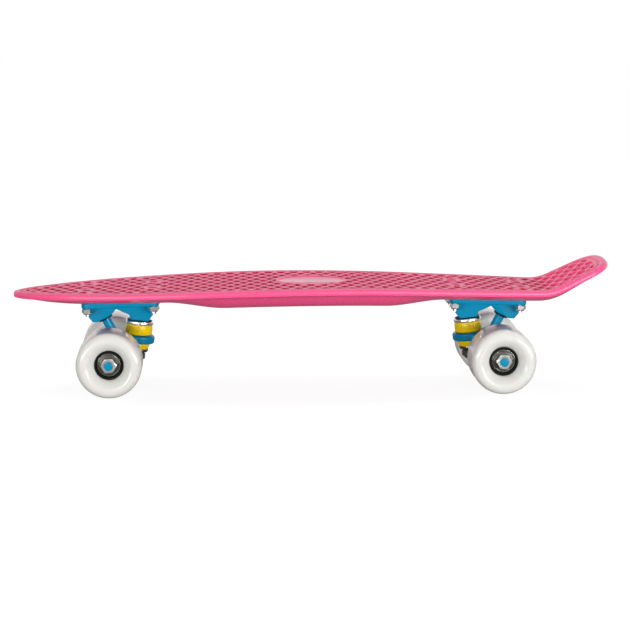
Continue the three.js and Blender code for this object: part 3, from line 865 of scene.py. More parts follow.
class GeometryTree:
    """A Geometry Nodes tree with named inputs, which is run once and leaves a plain mesh."""

    def __init__(self, name: str) -> None:
        """Starts a tree that takes a mesh and gives a mesh.

        Args:
            name: The tree's name.
        """
        self.tree = bpy.data.node_groups.new(name, "GeometryNodeTree")
        self.graph = Graph(self.tree)
        self.values: dict[str, Any] = {}
        for way in ("INPUT", "OUTPUT"):
            self.tree.interface.new_socket("Mesh", in_out=way, socket_type="NodeSocketGeometry")
        self.entry = self.graph.node("NodeGroupInput")

    @property
    def host_mesh(self) -> Link:
        """The mesh that the tree is run on."""
        return Link(self.graph, self.entry.outputs["Mesh"])

    def size(self, name: str, value: float | int) -> Link:
        """Adds a named number and returns its link."""
        return self._input(name, "NodeSocketInt" if isinstance(value, int) else "NodeSocketFloat", value)

    def shape(self, name: str, value: bpy.types.Object) -> Link:
        """Adds a named object and returns the link from its geometry."""
        link = self._input(name, "NodeSocketObject", value)
        return self.graph.out("GeometryNodeObjectInfo", "Geometry", None, {"Object": link})

    def _input(self, name: str, kind: str, value: Any) -> Link:
        """Adds a named input of the tree."""
        item = self.tree.interface.new_socket(name, in_out="INPUT", socket_type=kind)
        self.values[item.identifier] = value
        return Link(self.graph, self.entry.outputs[name])

    def combined(self, operation: str, first: Link, second: Link) -> Link:
        """Joins, cuts or intersects two closed meshes."""
        made = self.graph.node("GeometryNodeMeshBoolean", {"operation": operation, "solver": "MANIFOLD"})
        target = made.inputs[0] if operation == "DIFFERENCE" else made.inputs[1]
        self.tree.links.new(first.socket, target)
        self.tree.links.new(second.socket, made.inputs[1])
        return Link(self.graph, made.outputs[0])

    def joined(self, *parts: Link) -> Link:
        """Puts meshes that don't touch into one."""
        made = self.graph.node("GeometryNodeJoinGeometry")
        for part in parts:
            self.tree.links.new(part.socket, made.inputs[0])
        return Link(self.graph, made.outputs[0])

    def laid(self, flat: Link, level: Link, start: Link, step: Link) -> Link:
        """Lays flat work on a level line that says which way is up.

        Args:
            flat: Meshes drawn over the plan, with their height above the level as Z.
            level: Points of the line, one for each step along X, with an attribute named up.
            start: Where the line starts.
            step: The distance from point to point.

        Returns:
            The meshes on the level.
        """
        graph = self.graph
        here = graph.out("GeometryNodeInputPosition", 0)
        x, y, height = graph.axes(here)
        count = (x - start) / step
        index = graph.maths("FLOOR", count)
        up = graph.out("GeometryNodeInputNamedAttribute", "Attribute", {"data_type": "FLOAT_VECTOR"},
                       {"Name": "up"})

        def sampled(value: Link) -> Link:
            """Reads a value between the two nearest points of the line."""
            ends = [graph.out("GeometryNodeSampleIndex", 0, {"data_type": "FLOAT_VECTOR", "clamp": True},
                              {"Geometry": level, "Value": value, "Index": at}) for at in (index, index + 1)]
            return graph.out("ShaderNodeMix", 1, {"data_type": "VECTOR"},
                             {0: count - index, 4: ends[0], 5: ends[1]})

        raised = graph.out("ShaderNodeVectorMath", "Vector", {"operation": "SCALE"},
                           {0: sampled(up), "Scale": height})
        across = graph.out("ShaderNodeCombineXYZ", 0, None, {1: y})
        place = graph.vectors("ADD", graph.vectors("ADD", sampled(here), across), raised)
        return graph.out("GeometryNodeSetPosition", 0, None, {"Geometry": flat, "Position": place})

    def run(self, data: bpy.types.Mesh, result: Link, look: Look) -> bpy.types.Mesh:
        """Ends the tree, runs it and takes its modifier off again.

        Args:
            data: The mesh that it starts from.
            result: What it gives.
            look: The look that it sets.

        Returns:
            The plain mesh, in metres.
        """
        plain = self.graph.out("GeometryNodeRealizeInstances", 0, None, {0: result})
        dressed = self.graph.out("GeometryNodeSetMaterial", 0, None, {0: plain, "Material": look.material})
        self.graph.node("NodeGroupOutput", None, {0: dressed})
        host = linked(self.tree.name, data)
        modifier = host.modifiers.new(self.tree.name, "NODES")
        modifier.node_group = self.tree
        for identifier, value in self.values.items():
            modifier[identifier] = value
        plain_mesh = baked(host)
        host.modifiers.remove(modifier)
        bpy.data.objects.remove(host)
        plain_mesh.transform(Matrix.Scale(MM, 4))
        return plain_mesh


# Deck


@dataclass(frozen=True)
class Row:
    """One line of the deck's section that runs round the board.

    Attributes:
        inset: The distance from the outline.
        drop: The distance below the bead's top.
        scaled: Whether the line is drawn in towards the middle instead of square to the outline.
        share: On the underside, the share of the way from the rim's foot to the belly, else None.
    """

    inset: float
    drop: float = 0
    scaled: bool = False
    share: float | None = None


@dataclass
class DeckShape:
    """The board's plan, arch, kick and section. X is measured from the middle between the trucks."""

    middle: float
    spread: float
    crown: float
    length: float = 557.8
    width: float = 147
    centre: float = 7.9
    thickness: float = 11.8
    belly_depth: float = 7
    tip_thinning: float = 3
    rim_height: float = 6
    field_inset: float = 10.5
    field_drop: float = 0.3
    seat_inset: float = 28
    arch_run: float = 105
    slope: float = math.radians(2.1)
    kick_start: float = 217
    kick_radius: float = 39
    kick_angle: float = math.radians(25.4)
    splits: int = 8

    outline_shares = (
        (-1, 0), (-0.992, 0.1), (-0.974, 0.205), (-0.944, 0.325), (-0.9, 0.44), (-0.83, 0.59),
        (-0.755, 0.705), (-0.66, 0.82), (-0.55, 0.9), (-0.42, 0.965), (-0.28, 0.997), (-0.15, 1),
        (0, 0.975), (0.15, 0.932), (0.3, 0.885), (0.45, 0.832), (0.6, 0.77), (0.72, 0.706),
        (0.83, 0.65), (0.905, 0.612), (0.943, 0.55), (0.966, 0.44), (0.978, 0.29), (0.982, 0.13),
        (0.983, 0),
    )
    belly_ramp_shares = (0.43, 0.76)
    tip_ramp_shares = (1.22, 1.6)

    def arch_drop(self, x: float) -> float:
        """How far the top has come down from the crown."""
        away = abs(x)
        curved = min(away, self.arch_run)
        return (curved * curved / (2 * self.arch_run) + away - curved) * math.tan(self.slope)

    def top(self, x: float) -> tuple[float, float]:
        """The height of the top at a place along the board, and its lean."""
        if x < self.kick_start:
            return self.crown - self.arch_drop(x), -self.slope * max(-1, min(1, x / self.arch_run))
        run = x - self.kick_start
        bend = self.kick_radius * (math.sin(self.slope) + math.sin(self.kick_angle))
        lean = math.asin(min(run, bend) / self.kick_radius - math.sin(self.slope))
        rise = self.kick_radius * (math.cos(self.slope) - math.cos(lean))
        rise += max(run - bend, 0) * math.tan(self.kick_angle)
        return self.crown - self.arch_drop(self.kick_start) + rise, lean

    def depth(self, x: float) -> float:
        """How far the underside lies below the top."""
        away = abs(x) / self.spread
        belly = 1 - smoothstep(away, *self.belly_ramp_shares)
        tip = smoothstep(away, *self.tip_ramp_shares)
        return self.thickness + self.belly_depth * belly - self.tip_thinning * tip

    def under(self, x: float, y: float, drop: float) -> Vector:
        """The point that lies below a place on the bead's level, square to the top."""
        height, lean = self.top(x)
        return Vector((self.middle + x + drop * math.sin(lean), y, height - drop * math.cos(lean)))

    def outline(self) -> list[Vector]:
        """The plan outline, from the nose along the right side to the tail and back along the left."""
        half = [Vector((self.centre + a * self.length / 2, b * self.width / 2))
                for a, b in self.outline_shares]
        back = [Vector((p.x, -p.y)) for p in reversed(half)]
        right = smooth_through([back[-2], *half, back[1]], self.splits)
        right = right[self.splits:-self.splits]
        return [*right, *(Vector((p.x, -p.y)) for p in reversed(right[1:-1]))]

    def ring(self, row: Row) -> list[Vector]:
        """One line of the section, all round the board."""
        loop = self.outline()
        points = []
        for i, point in enumerate(loop):
            along = (loop[(i + 1) % len(loop)] - loop[i - 1]).normalized()
            inward = Vector((along.y, -along.x))
            spot = point + inward * row.inset
            if row.scaled:
                spot = Vector(((point.x - self.centre) * (1 - 2 * row.inset / self.length) + self.centre,
                               point.y * (1 - 2 * row.inset / self.width)))
            drop = row.drop
            if row.share is not None:
                drop = self.rim_height + (self.depth(spot.x) - self.rim_height) * row.share
            points.append(self.under(spot.x, spot.y, drop))
        return points


def smoothstep(value: float, low: float, high: float) -> float:
    """Goes smoothly from 0 at low to 1 at high."""
    t = max(0.0, min(1.0, (value - low) / (high - low)))
    return t * t * (3 - 2 * t)


@dataclass
class Deck:
    """The moulded board: rim, ribbed field, bare pads and underside."""

    shape: DeckShape
    bolts: Sequence[Matrix]
    bead_inset: float = 3.2
    groove_inset: float = 6.9
    groove_half: float = 1
    groove_depth: float = 1.2
    period_along: float = 12.3
    period_across: float = 23.3
    phase_along: float = 4.5
    rib_width: float = 2.9
    pocket_depth: float = 3.2
    wall_draft: float = 0.5
    corner_radius: float = 1.3
    edge_radius: float = 1.2
    overrun: float = 0.8
    oval_length: float = 61
    oval_width: float = 58
    oval_depth: float = 0.6
    lip_width: float = 2
    lip_height: float = 0.25
    bolt_pad_radius: float = 8.6
    hole_radius: float = 2.8
    head_radius: float = 4.8
    smallest_pocket: float = 95
    cells_across: int = 22
    columns: int = 49
    rows: int = 13
    level_reach: float = 320.0
    level_step: float = 0.5

    def section(self) -> list[Row]:
        """The lines of the section, from the field's edge over the rim to the middle of the underside."""
        s, g = self.shape, self.groove_inset
        top = [
            Row(s.field_inset, s.field_drop), Row(g + self.groove_half + 0.35, s.field_drop),
            Row(g + self.groove_half, s.field_drop + 0.12),
            Row(g + 0.25, s.field_drop + self.groove_depth), Row(g - 0.25, s.field_drop + self.groove_depth),
            Row(g - self.groove_half, s.field_drop + 0.1), Row(5.5, 0.3), Row(5, 0.2), Row(4.3, 0.08),
            Row(self.bead_inset, 0), Row(2.3, 0.08), Row(1.55, 0.3), Row(0.95, 0.68), Row(0.5, 1.2),
            Row(0.2, 1.85), Row(0.04, 2.7), Row(0, 3.6), Row(0.06, 4.5), Row(0.24, 5.2), Row(0.55, 5.7),
            Row(1, 5.95), Row(1.7, 6.02),
        ]
        under = [(3.1, 0.025), (4.6, 0.075), (6.4, 0.165), (8.3, 0.28), (10.4, 0.41), (13, 0.56), (16, 0.71),
                 (19.5, 0.85), (23.5, 0.955), (s.seat_inset, 1)]
        return top + [Row(inset, scaled=True, share=share) for inset, share in under]

    def shell(self) -> Draft:
        """The plain board, closed with a grid of small faces above and below."""
        rings = [self.shape.ring(row) for row in self.section()]
        draft = lofted(rings, wrap=False)
        del draft.faces[-2:]
        for ring, start in ((rings[0], 0), (rings[-1], len(rings[0]) * (len(rings) - 1))):
            self.bridge(draft, ring, start)
        return drawn(draft.points, draft.faces)

    def bridge(self, draft: Draft, ring: Sequence[Vector], start: int) -> None:
        """Closes a ring that is the same on both sides with a grid from side to side.

        Args:
            draft: The draft to which the grid is added.
            ring: The ring's points, from the nose.
            start: The number of its first point in the draft.
        """
        count = len(ring)
        lines = []
        for i in range(count // 2 + 1):
            j = (count - i) % count
            if i in (0, j):
                lines.append([start + i] * (self.cells_across + 1))
                continue
            first = len(draft.points)
            shares = [k / self.cells_across for k in range(1, self.cells_across)]
            draft.points += [ring[i].lerp(ring[j], share) for share in shares]
            lines.append([start + i, *range(first, len(draft.points)), start + j])
        draft.faces += [quad(low[k], low[k + 1], high[k + 1], high[k])
                        for low, high in zip(lines, lines[1:]) for k in range(self.cells_across)]

    def pocket(self) -> Draft:
        """The space of one diamond pocket about the origin, with its top edge rounded over."""
        a, b = self.period_along / 2, self.period_across / 2
        reach = a * b / math.hypot(a, b)
        slant = math.atan2(a, b)
        side, end = self.rib_width / 2, self.edge_radius
        rows = [(side - end, self.overrun), (side - end, 0), (side - end * 0.62, -end * 0.08),
                (side - end * 0.29, -end * 0.29), (side, -end * 1.1),
                (side + self.wall_draft, 0.5 - self.pocket_depth),
                (side + self.wall_draft + 0.45, -self.pocket_depth)]
        corners = ((0, a, slant, 5), (90, b, math.pi / 2 - slant, 3),
                   (180, a, slant, 5), (270, b, math.pi / 2 - slant, 3))
        rings = []
        for inset, height in rows:
            radius = self.corner_radius + 0.6 * (side - inset)
            share = (reach - inset - radius) / reach
            ring = []
            for middle, tip, half, steps in corners:
                way = math.radians(middle)
                x, y = share * tip * math.cos(way), share * tip * math.sin(way)
                for k in range(steps):
                    angle = way + half * (2 * k / (steps - 1) - 1)
                    ring.append(Vector((x + radius * math.cos(angle), y + radius * math.sin(angle), height)))
            rings.append(ring)
        return lofted(rings, wrap=False)

    def field_space(self) -> Draft:
        """The space over the field inside the flat border."""
        edge = self.shape.ring(Row(self.shape.field_inset))
        return prism([(p.x, p.y) for p in edge], CUT_LOW, CUT_HIGH)

    def ovals(self, section: Profile, wrap: bool) -> Draft:
        """Skins level ovals, each given by its distance outside the bare pad's edge and its height."""
        along, across = self.oval_length / 2, self.oval_width / 2
        return lofted([ellipse(along + out, across + out, height) for out, height in section], wrap)

    def pads(self) -> Draft:
        """The places that stay free of pockets: the oval and a round pad at each bolt."""
        outer = self.lip_width + 0.5
        draft = oval(self.oval_length / 2 + outer, self.oval_width / 2 + outer, CUT_LOW, CUT_HIGH)
        for bolt in self.bolts:
            round_pad = oval(self.bolt_pad_radius, self.bolt_pad_radius, CUT_LOW, CUT_HIGH, 40)
            top = bolt @ Vector((0, 0, self.shape.thickness))
            draft.add(round_pad.moved(Matrix.Translation((top.x, top.y, 0))))
        return draft

    def lip(self) -> Draft:
        """The thin raised ring round the oval, in flat coordinates."""
        wide, high = self.lip_width, self.lip_height
        section = [(-0.4, -0.7), (-0.4, high - 0.2), (0.1, high - 0.05), (0.4, high), (wide - 0.4, high),
                   (wide - 0.1, high - 0.06), (wide + 0.1, high - 0.2), (wide + 0.2, -0.02),
                   (wide + 0.2, -0.7)]
        return self.ovals(section, wrap=True)

    def cuts(self) -> Draft:
        """What is cut at the end: the oval's floor and the bolt holes."""
        floor = self.shape.crown - self.shape.field_drop - self.oval_depth
        section = [(-0.5, floor), (-0.16, floor + 0.1), (0, floor + 0.42), (0, floor + 5)]
        draft = self.ovals(section, wrap=False)
        top = self.shape.thickness + SEAT_GAP - self.shape.field_drop
        wide, over = self.head_radius + 0.25, 4
        hole = turned([(0, CUT_LOW), (self.hole_radius, CUT_LOW), (self.hole_radius, top - 2.9),
                       (self.head_radius, top - 0.3), (wide, top + 0.1), (wide, top + over),
                       (0, top + over)], 32)
        for bolt in self.bolts:
            draft.add(hole.moved(bolt))
        return draft

    def level(self) -> bpy.types.Object:
        """A line of points along the field's level, which says which way is up at each of them."""
        points, ups = [], []
        for k in range(int(2 * self.level_reach / self.level_step) + 1):
            x = self.level_step * k - self.level_reach
            lean = self.shape.top(x - self.shape.middle)[1]
            points.append(self.shape.under(x - self.shape.middle, 0, self.shape.field_drop))
            ups += [-math.sin(lean), 0, math.cos(lean)]
        data = bpy.data.meshes.new("level")
        data.from_pydata(points, [], [])
        data.attributes.new("up", "FLOAT_VECTOR", "POINT").data.foreach_set("vector", ups)
        return bpy.data.objects.new("level", data)

    def build(self) -> bpy.types.Object:
        """Cuts the ribbed field into the board with a Geometry Nodes tree.

        Returns:
            The deck's piece.
        """
        tree = GeometryTree("ribbed_field")
        along = tree.size("Period along", self.period_along)
        across = tree.size("Period across", self.period_across)
        columns, rows = tree.size("Columns", self.columns), tree.size("Rows", self.rows)
        phase = tree.size("Phase along", self.phase_along)
        least = tree.size("Smallest pocket", self.smallest_pocket)
        level = (tree.shape("Level", self.level()), tree.size("Level start", -self.level_reach),
                 tree.size("Level step", self.level_step))
        pocket, field_space, pads, lip, cuts = (
            tree.shape(name, helper(draft, name)) for name, draft in (
                ("Pocket", self.pocket()), ("Field", self.field_space()), ("Pads", self.pads()),
                ("Lip", self.lip()), ("Cuts", self.cuts())))

        graph = tree.graph
        half_across = across * 0.5
        grid = graph.out("GeometryNodeMeshGrid", "Mesh", None, {
            "Size X": along * (columns - 1), "Size Y": half_across * (rows - 1),
            "Vertices X": columns, "Vertices Y": rows})
        y = graph.axes(graph.out("GeometryNodeInputPosition", 0))[1]
        row = graph.maths("ROUND", y / half_across)
        odd = graph.maths("ABSOLUTE", graph.maths("MODULO", row, 2))
        shift = graph.out("ShaderNodeCombineXYZ", 0, None, {"X": odd * along * 0.5 + phase})
        lattice = graph.out("GeometryNodeSetPosition", 0, None, {"Geometry": grid, "Offset": shift})
        pockets = graph.out("GeometryNodeRealizeInstances", 0, None, {
            0: graph.out("GeometryNodeInstanceOnPoints", 0, None, {"Points": lattice, "Instance": pocket})})
        inside = tree.combined("INTERSECT", pockets, field_space)
        clear = tree.combined("DIFFERENCE", inside, pads)
        area = graph.out("GeometryNodeInputMeshFaceArea", 0)
        island = graph.out("GeometryNodeInputMeshIsland", "Island Index")
        whole = graph.out("GeometryNodeAccumulateField", "Total", {"domain": "FACE"},
                          {"Value": area, "Group ID": island})
        large = graph.out("GeometryNodeDeleteGeometry", 0, {"domain": "FACE"}, {
            "Geometry": clear, "Selection": graph.maths("LESS_THAN", whole, least)})

        shell = tree.combined("UNION", tree.host_mesh, tree.laid(lip, *level))
        ribbed = tree.combined("DIFFERENCE", shell, tree.joined(cuts, tree.laid(large, *level)))
        data = tree.run(self.shell().mesh("board_shell", 1), ribbed, Look.DECK)
        return ride(placed(data, "moulded_board", [Look.DECK], 25), "board", "deck")


# Trucks


@dataclass(frozen=True)
class KingpinStack:
    """The pieces along a kingpin, with their tops measured down from the baseplate's top."""

    boss_depth: float = 20
    washer_thickness: float = 1.6
    upper_length: float = 12.2
    ring_thickness: float = 7.6
    lower_length: float = 6.8
    nut_height: float = 8
    spare: float = 1.5

    @property
    def upper_washer(self) -> float:
        """The top of the upper cup washer."""
        return self.boss_depth + SEAT_GAP

    @property
    def upper_bushing(self) -> float:
        """The top of the upper bushing."""
        return self.upper_washer + self.washer_thickness + SEAT_GAP

    @property
    def ring(self) -> float:
        """The top of the hanger's ring."""
        return self.upper_bushing + self.upper_length + SEAT_GAP

    @property
    def lower_bushing(self) -> float:
        """The top of the lower bushing."""
        return self.ring + self.ring_thickness + SEAT_GAP

    @property
    def lower_washer(self) -> float:
        """The top of the lower cup washer."""
        return self.lower_bushing + self.lower_length + SEAT_GAP

    @property
    def nut(self) -> float:
        """The top of the kingpin's nut."""
        return self.lower_washer + self.washer_thickness + SEAT_GAP

    @property
    def end(self) -> float:
        """The end of the kingpin."""
        return self.nut + self.nut_height + self.spare


@dataclass
class TruckShape:
    """Sizes and meshes that both trucks share, in the truck's own frame."""

    stack: KingpinStack = field(default_factory=KingpinStack)
    slope: float = math.radians(2.1)
    plate_length: float = 72
    plate_width: float = 54
    plate_thickness: float = 5
    plate_corner: float = 6
    bolt_along: float = 30.5
    bolt_across: float = 20.65
    boss_width: float = 28
    pivot_width: float = 25
    wall: float = 6
    boss_radius: float = 8.2
    kingpin_offset: float = 19.4
    kingpin_lean: float = math.radians(8.5)
    kingpin_radius: float = 4.75
    head_flats: float = 14.2
    head_height: float = 5.5
    axle_x: float = -10.9
    axle_depth: float = 51.5
    beam_middle: float = 10
    beam_end: float = 7.75
    beam_half: float = 39
    ring_radius: float = 15.5
    ring_bore: float = 7.5
    mouth: Vector = field(default_factory=lambda: Vector((-15.9, 0, -16.8)))
    pivot_lean: float = math.radians(25)
    stem_radius: float = 4.35
    tip_depth: float = 4
    cup_flange: float = 6.8
    cup_body: float = 6.3
    cup_length: float = 10.4
    arm_spread: float = 27
    web_width: float = 22
    lower_bushing_radius: float = 11.5
    axle_bore: float = 4.25

    @property
    def ring_ends(self) -> tuple[float, float]:
        """The lower and the upper face of the hanger's ring, along the kingpin."""
        return -self.stack.ring - self.stack.ring_thickness, -self.stack.ring

    @property
    def mouth_reach(self) -> Vector:
        """The way from the middle of the pivot's mouth to its inner edge."""
        return Vector((math.cos(self.pivot_lean), 0, math.sin(self.pivot_lean))) * self.cup_flange

    @property
    def on_kingpin(self) -> Matrix:
        """The frame of the kingpin, in which pieces run down from 0."""
        return Matrix.Translation((self.kingpin_offset, 0, 0)) @ Matrix.Rotation(self.kingpin_lean, 4, "Y")

    @property
    def on_pivot(self) -> Matrix:
        """The frame of the pivot, whose Z goes into the housing."""
        return Matrix.Translation(self.mouth) @ Matrix.Rotation(-self.pivot_lean, 4, "Y")

    @property
    def at_axle(self) -> Matrix:
        """The middle of the axle, with Z along the axle."""
        return Matrix.Translation((self.axle_x, 0, -self.axle_depth)) @ Matrix.Rotation(-math.pi / 2, 4, "X")

    @property
    def ring_centre(self) -> Vector:
        """The middle of the hanger's ring, on which the steering line runs."""
        return self.on_kingpin @ Vector((0, 0, -self.stack.ring - self.stack.ring_thickness / 2))

    @property
    def bolt_places(self) -> list[tuple[float, float]]:
        """The places of the four bolts."""
        return [(x * self.bolt_along, y * self.bolt_across) for x in (1, -1) for y in (1, -1)]

    def flange(self) -> Draft:
        """The plate under the deck, with slightly drafted sides."""
        rows = []
        steps, soft = 6, 0.5
        for inset, height in ((soft, 0), (0, -soft), (0, 0.6 - self.plate_thickness),
                              (soft, -self.plate_thickness)):
            radius = self.plate_corner - inset
            reach = self.plate_length / 2 - inset - radius, self.plate_width / 2 - inset - radius
            row = []
            for quarter in range(4):
                corner = Vector(reach)
                corner.x *= (1, -1, -1, 1)[quarter]
                corner.y *= (1, 1, -1, -1)[quarter]
                for k in range(steps + 1):
                    angle = math.pi / 2 * (quarter + k / steps)
                    row.append(Vector((corner.x + radius * math.cos(angle),
                                       corner.y + radius * math.sin(angle), height)))
            rows.append(row)
        return lofted(rows, wrap=False)

    def pivot_housing(self) -> Draft:
        """The wedge that holds the pivot cup."""
        inner, outer = self.mouth + self.mouth_reach, self.mouth - self.mouth_reach
        wall, half, root = self.wall, self.pivot_width / 2, -self.plate_thickness / 2
        return wedge([
            (inner.x, inner.z, half), (outer.x, outer.z, half), (outer.x - wall * 0.8, outer.z, half),
            (outer.x - wall * 1.4, outer.z + wall * 0.8, half + 0.4),
            ((self.plate_corner - self.plate_length) / 2, root, half + 1.5),
            (inner.x + wall, root, half + 1.5),
            (inner.x + wall * 0.85, inner.z + wall, half + 0.6)])

    def kingpin_housing(self) -> Draft:
        """The wedge that holds the kingpin."""
        face = self.on_kingpin @ Vector((0, 0, -self.stack.boss_depth))
        across = Vector((math.cos(self.kingpin_lean), 0, -math.sin(self.kingpin_lean))) * self.boss_radius
        outer, inner = face - across, face + across
        wall, half, root = self.wall, self.boss_width / 2, -self.plate_thickness / 2
        arch = self.mouth + self.mouth_reach
        arch += Vector((wall * 0.85, 0, wall))
        return wedge([
            (outer.x, outer.z, half - 0.4), (inner.x, inner.z, half - 0.4),
            (inner.x + wall, inner.z + wall * 1.3, half), (self.plate_length / 2 - 3, root, half + 1.2),
            (arch.x - wall / 4, root, half + 1.2), (arch.x, arch.z, half + 0.6),
            (outer.x - wall / 6, outer.z + wall * 0.8, half)])

    def baseplate(self) -> bpy.types.Mesh:
        """The baseplate casting, in millimetres."""
        solids = self.flange().add(self.pivot_housing()).add(self.kingpin_housing())
        head_top = self.head_flats * math.sin(self.kingpin_lean)
        shank, head, through = self.kingpin_radius + SEAT_GAP, 8.5, -30
        cuts = rod(self.cup_body + SEAT_GAP, -3, self.cup_length + SEAT_GAP, 48).moved(self.on_pivot)
        cuts.add(turned([(0, through), (shank, through), (shank, -8), (head, -7.9), (head, head_top),
                         (0, head_top)], 48).moved(self.on_kingpin))
        hole = rod(2.7, CUT_LOW, 2, 24)
        for x, y in self.bolt_places:
            cuts.add(hole.moved(Matrix.Translation((x, y, 0))))
        return cast("baseplate_casting", solids, cuts)

    def beam(self) -> Draft:
        """The round beam along the axle."""
        share = 0.36
        half = [(self.beam_end, self.beam_half), (self.beam_end + 0.4, self.beam_half * 0.86),
                (self.beam_middle - 0.6, self.beam_half * (share + 0.12)),
                (self.beam_middle, self.beam_half * share)]
        rows = smooth_through(mirrored(half), 4)
        return turned([(0, self.beam_half), *((p.x, p.y) for p in rows), (0, -self.beam_half)],
                      48).moved(self.at_axle)

    def ring(self) -> Draft:
        """The ring between the bushings."""
        low, high = self.ring_ends
        r, soft = self.ring_radius, 1.2
        return turned([(0, low), (r - soft, low), (r, low + soft), (r, high - soft), (r - soft, high),
                       (0, high)], 64).moved(self.on_kingpin)

    def stem(self) -> Draft:
        """The pivot stem with its round tip."""
        reach = (self.axle_depth + self.mouth.z - self.beam_middle / 2) / math.cos(self.pivot_lean)
        return turned([*dome(self.stem_radius, self.tip_depth), (self.stem_radius, -reach / 2),
                       (self.stem_radius * 1.25, -reach), (0, -reach)], 40).moved(self.on_pivot)

    def arms(self) -> bpy.types.Mesh:
        """The two arms from the ring to the beam: what their side view and top view have in common."""
        thick, start, beam = self.stack.ring_thickness, self.ring_centre, self.beam_middle
        spread, x, z = self.arm_spread, self.axle_x, -self.axle_depth
        side = [(start.x, start.z + thick / 4), (start.x - self.ring_radius, start.z + thick / 2),
                (x, z + beam * 0.95), (x - beam * 0.7, z), (x, z - beam * 0.8), (x + beam, z - beam / 4),
                (start.x, start.z - thick / 2)]
        inner, outer, notch, heel = self.lower_bushing_radius + 1.4, self.ring_radius, x + beam, x - beam
        half = [(start.x, outer), (notch, outer * 1.25), (x, spread), (heel, spread)]
        gap = [(start.x, -inner), (notch, -inner * 0.8), (notch, inner * 0.8), (start.x, inner)]
        plan = prism([*mirrored(half), *gap], z - 2 * beam, 0)
        slab = wedge([(a, b, spread + 0.5) for a, b in side])
        return modified(slab.mesh("arms", 1), cut("INTERSECT", plan))

    def web(self) -> Draft:
        """The web between the ring, the stem and the beam."""
        edge = self.ring_centre.x - self.ring_radius
        thick, r = self.stack.ring_thickness, self.stem_radius
        stem = self.on_pivot @ Vector((0, 0, -(self.axle_depth + self.mouth.z) * 0.55))
        half = self.web_width / 2
        return wedge([
            (edge + thick / 3, self.ring_centre.z + thick * 0.7, half), (stem.x, stem.z + r, half * 0.6),
            (stem.x - r, stem.z, half * 0.6), (self.axle_x - r, r - self.axle_depth, half),
            (self.axle_x, -self.axle_depth, half),
            (edge + thick / 6, self.ring_centre.z - thick * 0.6, half)])

    def hanger(self) -> bpy.types.Mesh:
        """The hanger casting, in millimetres."""
        solids = self.beam().add(self.ring()).add(self.stem()).add(self.web()).add(drafted(self.arms()))
        reach = self.beam_half + 4
        cuts = rod(self.axle_bore, -reach, reach, 40).moved(self.at_axle)
        low, high = self.ring_ends
        bore = self.ring_bore
        cuts.add(turned([(0, low - 1), (bore + 1.2, low - 1), (bore + 0.8, low), (bore, low + 0.8),
                         (bore, high - 0.8), (bore + 0.8, high), (bore + 1.2, high + 1), (0, high + 1)],
                        48).moved(self.on_kingpin))
        return cast("hanger_casting", solids, cuts)


def joint_place(name: str) -> Vector:
    """The place of a joint in the frame, in millimetres."""
    return Vector(next(joint["pos_m"] for joint in frame["joints"] if joint["name"] == name)) / MM


